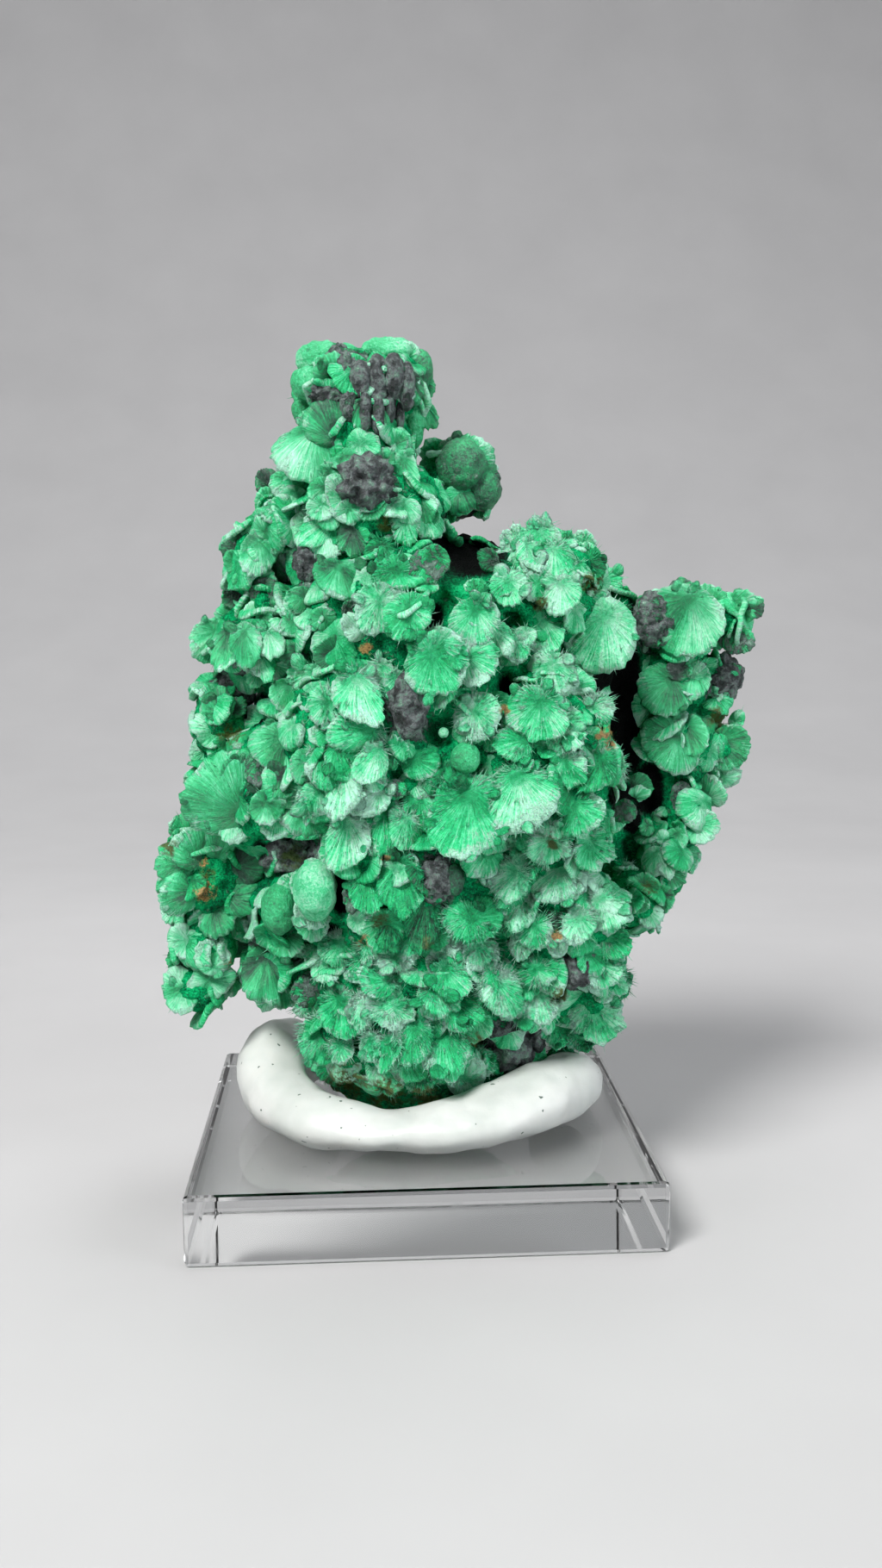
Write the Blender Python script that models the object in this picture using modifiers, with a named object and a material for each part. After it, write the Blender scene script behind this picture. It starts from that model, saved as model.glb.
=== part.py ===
"""A malachite specimen held by a ring of white putty on a clear acrylic slab.

Metres, +Z up. The origin is at the middle of the slab's underside. +Y points to the back.
The malachite is one grown cluster: rounded lobes, with shell-like fans of fibres on them.
"""
import math
import random

import bmesh
import bpy
from mathutils import Matrix, Vector
from mathutils.bvhtree import BVHTree

MM = 0.001

# Driving sizes, in millimetres
SLAB_SIDE = 40.0
SLAB_HEIGHT = 6.0
SLAB_EDGE = 0.4
TOUCH_GAP = 0.3
VIEW_POINT = Vector((-4.7, -135.8, 52.7))

# Fineness of the malachite solid
VOXEL = 0.45
MALACHITE_TRIANGLES = 8200
FAN_ACROSS = 8
FAN_ROUND = 8
SMALLEST_FAN = 1.15

# Fans on the sides and back, which grow over the lobes wherever the front fans leave off
BACK_FANS = 210
BACK_SPACING = 3.4
BACK_SEED = 11

# Grown lobes: middle x, y, z and half sizes along x, y, z
LOBES = [
    (0.5, -0.5, 11.5, 10.0, 6.0, 5.3),      # foot, inside the putty ring
    (2.5, -0.5, 19.5, 14.0, 9.5, 7.0),
    (1.0, 0.0, 30.0, 15.5, 11.0, 11.0),
    (1.0, 0.5, 42.0, 15.5, 11.0, 11.0),
    (0.5, 0.5, 51.5, 13.5, 10.0, 8.5),
    (-2.0, -6.5, 15.5, 7.0, 3.5, 5.0),      # front of the foot
    (11.0, -6.5, 38.0, 6.5, 5.0, 9.5),
    (12.5, -5.0, 24.5, 6.0, 5.0, 6.5),
    (-5.0, -7.0, 41.0, 6.5, 4.0, 8.0),
    (1.0, -7.0, 50.5, 6.0, 3.5, 5.5),
    (4.5, -8.0, 34.5, 3.5, 3.0, 4.5),
    (-13.0, -3.0, 37.0, 4.5, 5.0, 6.0),
    (12.5, 0.0, 54.0, 5.0, 6.0, 5.5),       # right shoulder
    (16.0, 0.5, 49.5, 3.0, 4.0, 4.0),
    (15.5, 0.0, 18.0, 3.6, 5.5, 5.0),
    (-13.5, 0.5, 50.0, 5.0, 6.0, 3.6),      # left shoulder, round its small hole
    (-14.6, 0.5, 57.2, 1.9, 4.0, 3.2),
    (-8.2, 0.5, 56.5, 2.6, 5.5, 4.5),
    (-11.5, 0.5, 61.0, 2.6, 4.0, 2.2),
    (-12.5, 0.5, 53.8, 2.6, 4.5, 1.5),
    (-4.0, 1.0, 61.5, 7.2, 6.5, 5.5),       # neck and peak
    (-4.8, 1.0, 68.0, 4.8, 5.0, 5.5),
    (-5.6, 0.5, 73.2, 3.2, 4.0, 2.9),
    (-1.6, 0.5, 73.0, 2.6, 3.6, 3.1),
    (4.2, 4.5, 64.8, 3.2, 2.8, 3.2),        # lobe behind the neck
    (-17.5, 1.0, 43.0, 2.6, 4.5, 4.0),      # left side
    (-17.5, 0.5, 36.5, 3.2, 4.5, 3.6),
    (-19.0, 1.0, 29.0, 4.0, 5.0, 4.4),
    (-19.6, 1.0, 22.8, 2.9, 4.0, 3.0),
    (-20.4, 0.0, 18.3, 2.7, 3.2, 2.0),
    (-14.0, 1.0, 20.5, 1.9, 4.0, 3.6),
    (-12.5, 0.0, 26.0, 3.0, 6.0, 4.0),
    (25.6, 6.0, 51.6, 3.8, 4.0, 2.6),       # right wing, curved forward from the back
    (30.2, 6.5, 52.0, 1.6, 2.6, 1.6),
    (25.8, 6.0, 46.0, 3.4, 3.4, 4.0),
    (29.0, 6.5, 45.0, 1.6, 2.6, 3.5),
    (26.2, 6.0, 39.8, 3.2, 3.4, 4.2),
    (29.5, 6.5, 39.4, 1.6, 2.6, 2.0),
    (26.2, 5.5, 33.4, 1.9, 3.2, 4.0),
    (23.8, 4.0, 28.6, 2.1, 3.6, 3.6),
    (20.8, 2.5, 25.4, 2.4, 4.5, 3.0),
    (19.5, 7.5, 44.0, 4.5, 2.6, 11.0),      # wall at the back of the cleft
    (22.8, 7.0, 36.0, 3.2, 2.6, 5.0),
    (20.0, 5.0, 31.5, 3.0, 3.5, 5.0),
    (-16.3, 2.5, 24.6, 2.3, 3.5, 2.6),
]

# Pits sunk into the front: x, z as seen from VIEW_POINT, radius, depth
PITS = [
    (-6.9, 27.3, 1.5, 4.0), (-8.0, 23.4, 1.1, 3.5), (2.1, 24.6, 0.9, 3.0), (5.2, 59.3, 2.4, 3.5),
    (2.6, 53.2, 1.8, 2.5), (8.4, 46.2, 1.9, 3.0), (9.0, 52.2, 1.0, 2.5), (-14.6, 44.6, 1.3, 2.5),
    (-11.4, 30.8, 2.4, 2.0), (2.4, 42.2, 1.6, 2.0), (17.6, 36.0, 1.4, 3.0), (13.3, 16.8, 1.1, 2.5),
    (5.6, 12.8, 1.0, 2.5), (-5.4, 12.4, 0.8, 2.0), (-14.6, 30.6, 1.0, 3.0), (-15.4, 24.6, 1.0, 2.5),
    (20.4, 31.0, 1.5, 3.0), (16.3, 55.0, 0.8, 1.5), (-1.9, 38.7, 1.3, 1.5), (28.4, 42.8, 1.0, 1.5),
]

# The hole through the left shoulder, seen from VIEW_POINT
HOLE_X = -11.0
HOLE_Z = 56.6
HOLE_RADIUS = 1.2

# Crusty knobs and smooth pebbles: x, z as seen from VIEW_POINT, half width, half height, lift
KNOBS = [
    (-4.2, 64.6, 2.2, 2.0, 1.6), (-9.5, 57.4, 1.2, 1.6, 0.8), (-0.5, 44.2, 1.6, 2.9, 1.2),
    (-13.3, 26.0, 1.6, 2.3, 1.6), (3.6, 28.0, 0.9, 1.4, 0.8), (8.6, 11.9, 2.2, 2.4, 0.6),
    (11.2, 12.8, 0.9, 1.4, 0.8), (15.0, 19.2, 1.5, 1.7, 0.6), (22.2, 51.9, 2.0, 2.4, 0.8),
    (28.8, 46.5, 1.8, 2.2, 0.4), (-16.4, 46.3, 1.9, 1.7, 0.3), (-5.7, 75.2, 1.9, 1.6, 0.2),
    (-3.5, 73.2, 0.9, 1.8, 1.0), (-1.5, 73.2, 0.9, 2.1, 1.2), (-11.4, 30.8, 2.6, 1.9, -1.6),
    (4.7, 39.4, 1.3, 1.3, 1.6), (-2.6, 16.0, 2.2, 1.8, 0.8), (2.0, 28.2, 1.6, 2.0, 0.2),
]

# Fans on the front: x, z of the middle as seen from VIEW_POINT, radius, way that the fan opens
# (degrees, 0 to the right, 90 up), spread (degrees), lean out of the rim (degrees), lift
PEAK_FANS = [
    (-5.7, 75.4, 1.7, 90, 200, 10, 0.0), (-8.6, 73.2, 2.2, 165, 130, 15, 0.5),
    (-6.8, 73.4, 2.2, 80, 200, 25, 1.5), (-7.6, 71.8, 1.6, 230, 120, 20, 1.0),
    (-8.8, 71.0, 1.3, 220, 120, 20, 0.5), (-5.2, 71.0, 1.2, 275, 70, 20, 1.5),
    (-3.5, 71.2, 1.2, 265, 60, 20, 1.0), (-2.6, 70.4, 1.2, 270, 60, 20, 0.8),
    (-0.1, 72.8, 1.5, 270, 50, 15, 0.8), (-2.4, 75.9, 1.3, 110, 150, 25, 0.9),
    (-0.3, 75.8, 1.4, 70, 150, 25, 0.9), (1.2, 73.4, 1.5, 350, 130, 10, -0.5),
    (0.9, 70.6, 1.7, 275, 45, 25, 1.2), (-6.3, 68.4, 2.6, 45, 200, 20, 2.0),
    (-10.2, 66.9, 2.4, 195, 170, 20, 1.5), (-7.2, 66.0, 1.8, 280, 160, 25, 2.0),
    (-10.2, 69.0, 1.6, 140, 160, 10, 0.5), (0.1, 65.8, 1.6, 285, 40, 25, 1.5),
    (-0.4, 68.0, 1.2, 300, 60, 20, 1.2), (4.6, 66.1, 2.8, 60, 220, 5, 0.0),
    (6.4, 63.8, 2.2, 320, 140, 10, 0.0), (3.6, 63.2, 2.0, 250, 140, 10, 0.0),
    (1.6, 66.4, 1.6, 120, 120, 10, 0.0), (-8.0, 63.6, 1.5, 255, 110, 25, 1.0),
    (-8.2, 62.2, 1.4, 260, 110, 25, 1.2), (-13.0, 64.6, 1.4, 150, 130, 10, 0.0),
    (-13.2, 63.0, 1.2, 190, 140, 10, 0.0), (-11.4, 64.3, 1.6, 235, 100, 20, 0.8),
    (-10.9, 62.8, 1.7, 240, 100, 25, 1.0), (-12.4, 61.9, 1.2, 220, 110, 20, 0.5),
    (-0.5, 61.9, 1.4, 275, 150, 20, 1.0), (-3.7, 62.1, 1.4, 265, 150, 15, 0.6),
    (-5.6, 61.9, 1.3, 270, 120, 20, 0.8), (1.2, 62.2, 1.5, 290, 120, 15, 0.4),
    (2.4, 60.9, 1.2, 300, 120, 15, 0.3),
]
LEFT_SHOULDER_FANS = [
    (-16.0, 59.0, 1.4, 140, 180, 10, 0.0), (-16.1, 57.3, 1.3, 190, 150, 10, 0.0),
    (-13.9, 58.0, 2.0, 265, 70, 15, 0.6), (-12.8, 60.8, 1.6, 50, 140, 10, 0.2),
    (-13.6, 55.9, 1.3, 0, 110, 20, 0.8), (-13.4, 54.6, 1.6, 300, 130, 15, 0.4),
    (-16.3, 54.6, 1.2, 170, 110, 15, 0.3), (-9.4, 60.3, 1.8, 250, 110, 15, 0.8),
    (-7.8, 59.4, 1.9, 265, 110, 20, 1.0), (-5.2, 59.6, 1.9, 280, 110, 15, 0.8),
    (-6.7, 55.7, 2.6, 265, 150, 25, 2.0), (-10.0, 54.0, 1.5, 250, 150, 20, 0.8),
    (-16.6, 53.0, 1.3, 100, 160, 15, 0.5), (-14.2, 53.0, 1.2, 60, 150, 15, 0.5),
    (-11.2, 53.2, 1.2, 200, 80, 20, 0.8), (-11.0, 51.8, 1.3, 290, 130, 20, 0.8),
    (-18.3, 50.3, 2.2, 245, 110, 15, 0.8), (-16.9, 49.7, 1.9, 265, 70, 25, 1.6),
    (-15.2, 50.0, 1.9, 275, 60, 25, 1.6), (-13.0, 50.4, 1.8, 285, 80, 25, 1.2),
    (-12.4, 48.0, 1.3, 330, 120, 15, 0.8), (-10.6, 49.4, 1.7, 270, 200, 20, 1.2),
    (-7.0, 49.4, 2.0, 90, 190, 25, 1.0), (-5.4, 51.5, 1.3, 160, 100, 20, 1.0),
    (-8.2, 52.4, 1.2, 270, 180, 15, 0.8),
]
UPPER_FANS = [
    (-2.9, 58.3, 1.4, 250, 100, 15, 0.8), (-0.6, 60.4, 1.6, 275, 80, 20, 1.0),
    (2.5, 57.6, 2.3, 265, 110, 25, 1.2), (-1.8, 56.2, 2.1, 235, 130, 20, 1.2),
    (-3.3, 53.0, 2.3, 255, 80, 25, 1.4), (-0.6, 52.6, 2.3, 240, 120, 25, 2.0),
    (2.9, 50.1, 1.7, 350, 60, 25, 1.6), (2.2, 48.0, 3.0, 295, 110, 30, 2.6),
    (5.6, 48.5, 2.4, 335, 100, 25, 2.0), (5.9, 54.8, 1.2, 60, 160, 15, 0.6),
    (5.7, 51.9, 2.4, 265, 130, 20, 1.4), (7.6, 50.3, 1.7, 290, 130, 20, 1.2),
    (8.9, 54.8, 2.0, 280, 120, 20, 1.4), (8.3, 59.0, 1.8, 130, 110, 10, 0.6),
    (10.3, 57.4, 2.0, 265, 55, 25, 1.6), (11.8, 58.4, 2.4, 270, 60, 20, 1.2),
    (13.4, 57.2, 2.0, 285, 60, 20, 1.2), (14.0, 59.0, 1.4, 70, 150, 10, 0.0),
    (16.2, 57.3, 1.7, 30, 200, 10, 0.3), (13.8, 54.2, 1.9, 280, 110, 25, 1.8),
    (11.3, 54.9, 1.4, 250, 110, 20, 1.2), (10.2, 50.5, 1.2, 250, 130, 20, 1.0),
    (12.1, 50.7, 2.0, 275, 90, 20, 1.0), (9.4, 49.3, 1.4, 250, 130, 20, 1.2),
    (17.9, 55.4, 1.6, 340, 120, 10, 0.3), (17.2, 50.7, 3.4, 260, 110, 25, 2.2),
    (18.9, 52.2, 1.5, 320, 120, 10, 0.6),
]
WING_FANS = [
    (25.2, 51.9, 3.5, 255, 140, 20, 1.0), (22.4, 51.9, 2.2, 220, 150, 15, 0.8),
    (24.8, 54.0, 1.9, 100, 150, 10, 0.0), (27.6, 53.9, 1.6, 70, 140, 10, 0.0),
    (30.4, 52.9, 1.9, 330, 120, 15, 0.4), (30.2, 49.8, 1.5, 300, 140, 10, 0.0),
    (28.4, 50.6, 1.8, 280, 120, 15, 0.4), (23.1, 45.9, 2.4, 220, 150, 20, 0.8),
    (26.0, 46.3, 2.0, 270, 50, 20, 0.6), (28.7, 46.2, 2.0, 320, 200, 15, 0.2),
    (23.7, 40.7, 2.8, 215, 160, 20, 0.8), (25.6, 41.0, 2.2, 285, 80, 20, 1.0),
    (29.4, 40.0, 2.3, 330, 150, 15, 0.3), (29.4, 37.5, 1.5, 30, 90, 15, 0.4),
    (27.7, 35.9, 1.9, 60, 90, 15, 0.4), (24.9, 35.4, 1.5, 265, 50, 15, 0.0),
    (26.5, 32.6, 2.1, 285, 180, 20, 0.5), (24.4, 31.4, 1.3, 250, 120, 15, 0.4),
    (25.6, 29.6, 1.5, 300, 120, 15, 0.2), (22.4, 29.3, 1.5, 260, 80, 20, 0.6),
    (24.2, 27.6, 1.3, 300, 120, 15, 0.2), (21.4, 27.3, 1.5, 90, 180, 20, 0.6),
    (22.8, 25.6, 1.6, 225, 90, 20, 0.4), (22.0, 24.2, 1.4, 290, 120, 15, 0.2),
    (20.7, 36.5, 1.7, 35, 90, 20, 0.8), (19.5, 34.2, 1.4, 260, 110, 20, 0.8),
]
RIGHT_FANS = [
    (12.6, 46.9, 2.5, 250, 140, 25, 1.6), (15.3, 46.7, 1.6, 320, 130, 20, 1.0),
    (11.3, 43.2, 2.8, 255, 120, 25, 2.2), (13.9, 41.8, 2.3, 290, 110, 25, 1.8),
    (16.9, 43.4, 1.8, 300, 150, 15, 0.8), (10.0, 37.4, 4.0, 275, 130, 25, 2.6),
    (9.2, 40.6, 1.7, 200, 110, 20, 1.6), (14.5, 38.1, 1.8, 300, 120, 20, 1.4),
    (16.7, 38.0, 2.1, 240, 50, 25, 1.6), (18.6, 38.6, 1.4, 0, 180, 20, 1.0),
    (15.5, 33.9, 2.4, 300, 130, 25, 1.6), (16.7, 31.0, 1.9, 330, 70, 25, 1.4),
    (5.8, 43.1, 2.5, 280, 150, 20, 1.6), (2.7, 45.9, 1.8, 265, 80, 25, 2.0),
    (2.7, 38.0, 1.9, 280, 180, 20, 1.0), (4.6, 34.0, 3.9, 265, 110, 25, 2.4),
    (0.6, 34.6, 1.8, 275, 90, 25, 1.4),
]
CENTRE_FANS = [
    (-8.2, 44.3, 1.9, 240, 120, 20, 1.2), (-5.4, 45.0, 2.6, 265, 60, 25, 1.8),
    (-3.1, 47.3, 1.4, 270, 120, 20, 1.4), (-1.6, 46.0, 1.4, 270, 70, 25, 1.6),
    (-9.5, 46.8, 1.6, 240, 120, 20, 1.0), (-5.5, 41.8, 2.2, 190, 40, 20, 1.4),
    (-8.7, 38.7, 1.8, 265, 70, 25, 1.6), (-7.0, 39.3, 1.6, 275, 70, 25, 1.6),
    (-6.5, 36.4, 2.2, 270, 70, 25, 2.0), (-9.2, 35.8, 1.7, 250, 120, 20, 1.6),
    (-4.0, 38.8, 1.8, 250, 80, 20, 1.4), (-3.9, 35.7, 1.7, 230, 60, 20, 1.4),
    (-2.9, 33.0, 2.3, 265, 60, 25, 1.6), (-0.9, 32.8, 1.8, 265, 80, 25, 1.6),
    (-6.1, 31.6, 2.4, 270, 70, 25, 1.8), (-1.9, 40.4, 1.4, 90, 150, 20, 0.8),
]
LEFT_FANS = [
    (-18.0, 44.9, 1.8, 115, 60, 15, 0.3), (-18.9, 42.4, 1.8, 175, 120, 15, 0.3),
    (-19.6, 40.3, 1.2, 200, 130, 10, 0.2), (-12.2, 41.5, 2.7, 250, 200, 20, 1.4),
    (-18.0, 37.4, 3.5, 130, 150, 20, 1.0), (-15.9, 38.6, 2.0, 60, 90, 20, 1.0),
    (-19.2, 35.0, 1.6, 190, 90, 20, 0.6), (-16.6, 33.6, 1.9, 280, 130, 20, 1.0),
    (-13.6, 35.1, 1.8, 290, 120, 20, 1.0), (-12.2, 37.4, 1.6, 280, 150, 20, 1.0),
    (-10.3, 34.2, 2.5, 270, 120, 25, 1.8), (-11.8, 45.3, 1.6, 260, 100, 20, 1.0),
    (-10.2, 39.0, 1.5, 250, 100, 20, 1.2), (-21.9, 32.4, 1.9, 120, 120, 15, 0.6),
    (-20.2, 32.5, 1.6, 95, 100, 20, 0.8), (-18.4, 32.3, 1.6, 70, 90, 20, 0.8),
    (-22.7, 30.5, 1.9, 180, 110, 20, 0.8), (-22.0, 27.4, 2.4, 215, 130, 20, 0.8),
    (-16.4, 30.4, 2.3, 350, 100, 15, 0.5), (-17.0, 27.2, 2.1, 0, 80, 15, 0.6),
    (-19.8, 25.0, 1.8, 265, 120, 20, 0.8), (-17.3, 24.6, 1.7, 275, 60, 15, 0.3),
    (-22.8, 25.6, 1.3, 220, 110, 15, 0.6), (-16.4, 22.9, 2.1, 30, 60, 15, 0.3),
    (-21.7, 22.7, 1.7, 200, 150, 15, 0.5), (-22.0, 21.0, 1.5, 240, 150, 15, 0.5),
    (-19.0, 21.2, 1.8, 90, 120, 15, 0.8), (-19.3, 18.6, 2.4, 290, 220, 15, 1.0),
    (-22.3, 18.0, 2.3, 200, 200, 10, 0.2), (-14.4, 22.2, 1.5, 100, 140, 15, 0.8),
    (-14.2, 19.2, 2.8, 265, 80, 20, 0.8), (-12.3, 22.4, 1.8, 280, 90, 20, 1.0),
    (-12.7, 17.2, 1.4, 270, 80, 15, 0.6), (-9.9, 28.2, 2.1, 250, 150, 20, 1.2),
    (-9.7, 25.2, 1.9, 265, 110, 20, 1.2),
]
LOWER_FANS = [
    (-4.6, 27.0, 2.0, 270, 60, 10, 0.4), (-1.5, 27.5, 2.6, 270, 60, 10, 0.4),
    (0.8, 24.5, 2.4, 270, 50, 10, 0.4), (5.2, 24.3, 2.7, 280, 200, 20, 1.6),
    (-7.2, 21.6, 2.0, 270, 140, 20, 1.2), (-9.6, 21.6, 1.6, 260, 120, 20, 1.0),
    (-4.2, 21.3, 1.7, 290, 140, 20, 1.2), (-1.9, 20.6, 1.6, 270, 180, 20, 1.2),
    (2.7, 21.4, 1.4, 280, 140, 15, 1.0), (8.3, 27.8, 2.3, 215, 120, 20, 1.4),
    (10.3, 29.6, 1.8, 265, 80, 20, 1.2), (12.4, 31.0, 1.9, 250, 120, 20, 1.4),
    (13.4, 27.5, 2.6, 265, 110, 25, 1.8), (17.9, 28.2, 2.0, 340, 110, 20, 1.0),
    (17.5, 24.6, 2.5, 280, 130, 20, 1.6), (15.3, 23.0, 1.9, 265, 90, 20, 1.4),
    (11.1, 22.9, 1.8, 265, 90, 20, 1.4), (9.5, 25.2, 1.9, 255, 90, 20, 1.2),
    (18.4, 21.6, 1.9, 300, 120, 20, 1.0), (6.0, 20.8, 1.9, 290, 120, 20, 1.4),
    (11.4, 19.0, 2.0, 270, 200, 20, 1.4), (17.4, 19.0, 1.9, 290, 160, 20, 1.4),
    (19.0, 17.8, 1.6, 300, 110, 10, 0.2), (7.9, 17.0, 2.3, 295, 100, 25, 1.8),
    (3.3, 18.3, 2.0, 300, 90, 20, 1.2), (4.0, 15.3, 2.2, 300, 90, 20, 1.2),
    (1.9, 17.0, 1.8, 290, 90, 20, 1.2), (11.3, 15.9, 1.9, 270, 110, 20, 1.2),
    (17.0, 14.4, 2.7, 290, 150, 15, 1.0), (13.0, 13.3, 1.9, 270, 110, 20, 1.0),
    (-4.0, 18.4, 1.8, 180, 100, 20, 1.2), (-7.3, 15.3, 2.4, 265, 50, 25, 1.4),
    (-10.1, 17.8, 1.7, 180, 200, 20, 1.0), (-8.6, 19.5, 1.6, 270, 120, 20, 1.2),
    (-9.0, 12.9, 2.5, 240, 130, 15, 0.6), (-5.2, 15.6, 1.6, 265, 60, 20, 1.4),
    (-2.9, 11.8, 1.7, 270, 90, 20, 1.2), (-0.4, 12.6, 2.2, 270, 50, 20, 1.2),
    (2.4, 11.8, 2.8, 275, 75, 20, 1.4), (0.2, 9.2, 1.6, 270, 150, 10, 0.4),
    (5.6, 10.2, 1.7, 290, 130, 10, 0.4),
]
FRONT_FANS = (PEAK_FANS + LEFT_SHOULDER_FANS + UPPER_FANS + WING_FANS + RIGHT_FANS
              + CENTRE_FANS + LEFT_FANS + LOWER_FANS)

# The putty roll's middle line: x, y, half width, half height, from the left end to the right end
PUTTY_LINE = [
    (-8.0, 10.5, 2.2, 2.4), (-12.2, 7.5, 2.8, 3.6), (-13.8, 2.0, 3.0, 3.9), (-12.8, -3.6, 3.1, 3.0),
    (-9.0, -8.4, 3.1, 2.1), (-3.0, -10.7, 3.1, 1.8), (3.4, -10.5, 3.4, 2.1), (9.6, -8.0, 3.7, 2.9),
    (13.6, -3.0, 3.2, 3.1), (14.4, 2.6, 2.7, 2.5), (12.0, 7.8, 2.2, 2.0),
]
PUTTY_SIDES = 16
PUTTY_STEPS = 3
PRESS_CLEARANCE = 0.8


def clear_scene():
    for item in list(bpy.data.objects):
        bpy.data.objects.remove(item, do_unlink=True)


def material(name, colour, roughness, metallic=0.0, alpha=1.0):
    made = bpy.data.materials.new(name)
    made.use_nodes = True
    shader = made.node_tree.nodes["Principled BSDF"]
    shader.inputs["Base Color"].default_value = (*colour, 1.0)
    shader.inputs["Roughness"].default_value = roughness
    shader.inputs["Metallic"].default_value = metallic
    shader.inputs["Alpha"].default_value = alpha
    return made


def lobe_hit(lobe, origin, way):
    """Distance along way to the front of one lobe, or None, and how near the ray passes it."""
    middle = Vector(lobe[:3])
    half = Vector(lobe[3:])
    start = Vector((origin - middle)[i] / half[i] for i in range(3))
    step = Vector(way[i] / half[i] for i in range(3))
    a, b, c = step.dot(step), start.dot(step), start.dot(start) - 1.0
    closest = -b / a
    miss = (start + step * closest).length
    inside = b * b - a * c
    if inside < 0.0:
        return None, closest, miss
    return (-b - math.sqrt(inside)) / a, closest, miss


def first_surface(origin, way):
    """Where a ray first meets the lobes; a ray that misses them all takes the nearest lobe."""
    hits = [lobe_hit(lobe, origin, way) for lobe in LOBES]
    fronts = [hit[0] for hit in hits if hit[0] is not None]
    if fronts:
        return origin + way * min(fronts)
    nearest = min(hits, key=lambda hit: hit[2])
    return origin + way * nearest[1]


def sight_frame(x, z):
    """The ray from the viewing point through (x, 0, z), with the right and up across it."""
    way = (Vector((x, 0.0, z)) - VIEW_POINT).normalized()
    right = way.cross(Vector((0.0, 0.0, 1.0))).normalized()
    return way, right, right.cross(way)


def fan_reach(radius, spread):
    """Length from apex to rim of a fan that fills a circle, and how far its middle is along it."""
    half = math.radians(spread) / 2.0
    back = min(0.0, math.cos(half))
    wide = 2.0 * math.sin(min(half, math.pi / 2.0))
    length = 4.0 * radius / (wide + 1.0 - back)
    return length, (1.0 + back) / 2.0


def front_fan(entry):
    """Apex, opening way, across way, face normal, length and spread of one front fan."""
    x, z, radius, toward, spread, lean, lift = entry
    way, right, up = sight_frame(x, z)
    flat = right * math.cos(math.radians(toward)) + up * math.sin(math.radians(toward))
    tilt = math.radians(lean)
    along = flat * math.cos(tilt) - way * math.sin(tilt)
    normal = -way * math.cos(tilt) - flat * math.sin(tilt)
    length, middle = fan_reach(radius, spread)
    apex = first_surface(VIEW_POINT, way) - way * lift - along * (length * middle)
    return apex, along, normal.cross(along), normal, length, math.radians(spread)


def lobe_normal(lobe, point):
    return Vector((point[i] - lobe[i]) / lobe[3 + i] ** 2 for i in range(3)).normalized()


def outside_lobes(point, skip, margin=0.96):
    for other in LOBES:
        if other is skip:
            continue
        if sum(((point[i] - other[i]) / other[3 + i]) ** 2 for i in range(3)) < margin:
            return False
    return True


def back_fans():
    """Fans on the sides and back: spread evenly over the lobes, rims leaning out and down."""
    draw = random.Random(BACK_SEED)
    weights = [lobe[3] * lobe[4] + lobe[4] * lobe[5] + lobe[5] * lobe[3] for lobe in LOBES]
    kept = []
    for _ in range(9000):
        lobe = draw.choices(LOBES, weights)[0]
        turn, rise = draw.uniform(-math.pi, math.pi), draw.uniform(-1.0, 1.0)
        flat = math.sqrt(1.0 - rise * rise)
        size, swing = draw.uniform(1.5, 3.0), draw.gauss(0.0, 38.0)
        spread, lean = draw.uniform(80.0, 190.0), draw.uniform(12.0, 28.0)
        unit = (flat * math.cos(turn), flat * math.sin(turn), rise)
        point = Vector(lobe[i] + lobe[3 + i] * unit[i] for i in range(3))
        normal = lobe_normal(lobe, point)
        facing = normal.dot((VIEW_POINT - point).normalized())
        low = point.z < 13.0 or (point.z < 16.0 and normal.z < 0.2)
        if facing > 0.05 or low or not outside_lobes(point, lobe):
            continue
        if any((point - other[0]).length < BACK_SPACING for other in kept):
            continue
        kept.append((point, normal, size, swing, spread, lean))
        if len(kept) == BACK_FANS:
            break
    return [back_fan(*row) for row in kept]


def back_fan(point, normal, size, swing, spread, lean):
    down = Vector((0.0, 0.0, -1.0))
    flat = down - normal * down.dot(normal)
    if flat.length < 0.2:
        flat = normal.cross(Vector((0.0, 1.0, 0.0)))
    flat = Matrix.Rotation(math.radians(swing), 3, normal) @ flat.normalized()
    tilt = math.radians(lean)
    along = flat * math.cos(tilt) + normal * math.sin(tilt)
    face = normal * math.cos(tilt) - flat * math.sin(tilt)
    length, middle = fan_reach(size, spread)
    apex = point - along * (length * middle)
    return apex, along, face.cross(along), face, length, math.radians(spread)


def fan_shape(bm, fan, thickness):
    """One closed fan: a grid bent from the apex over the front, round the rim and back again."""
    apex, along, across, normal, length, spread = fan
    grid = bmesh.ops.create_grid(bm, x_segments=FAN_ACROSS, y_segments=FAN_ROUND, size=1.0)
    verts = grid["verts"]
    for vert in verts:
        side, way = vert.co.x, vert.co.y
        rim = 0.25
        if abs(way) < rim:
            turn = abs(way) / rim * math.pi / 2.0
            radius, height = 1.0 - 0.12 * (1.0 - math.cos(turn)), math.sin(turn)
        else:
            radius = 0.88 * (1.0 - abs(way)) / (1.0 - rim)
            height = 0.35 + 0.65 * radius / 0.88
        height *= math.copysign(1.0, way) * (1.0 - abs(side) ** 4) ** 0.5 if way else 0.0
        angle = 0.5 * spread * side
        reach = length * radius * (1.0 - 0.10 * abs(side) ** 3)
        bow = -0.10 * length * radius * side * side
        vert.co = (apex + along * (reach * math.cos(angle)) + across * (reach * math.sin(angle))
                   + normal * (height * thickness / 2.0 + bow))
    bmesh.ops.remove_doubles(bm, verts=verts, dist=0.02)


def ball_shape(bm, middle, halves, frame=None, rings=8):
    ball = bmesh.ops.create_uvsphere(bm, u_segments=2 * rings, v_segments=rings, radius=1.0)
    for vert in ball["verts"]:
        spot = Vector(vert.co[i] * halves[i] for i in range(3))
        if frame:
            spot = frame[0] * spot.x + frame[1] * spot.y + frame[2] * spot.z
        vert.co = middle + spot


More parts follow.
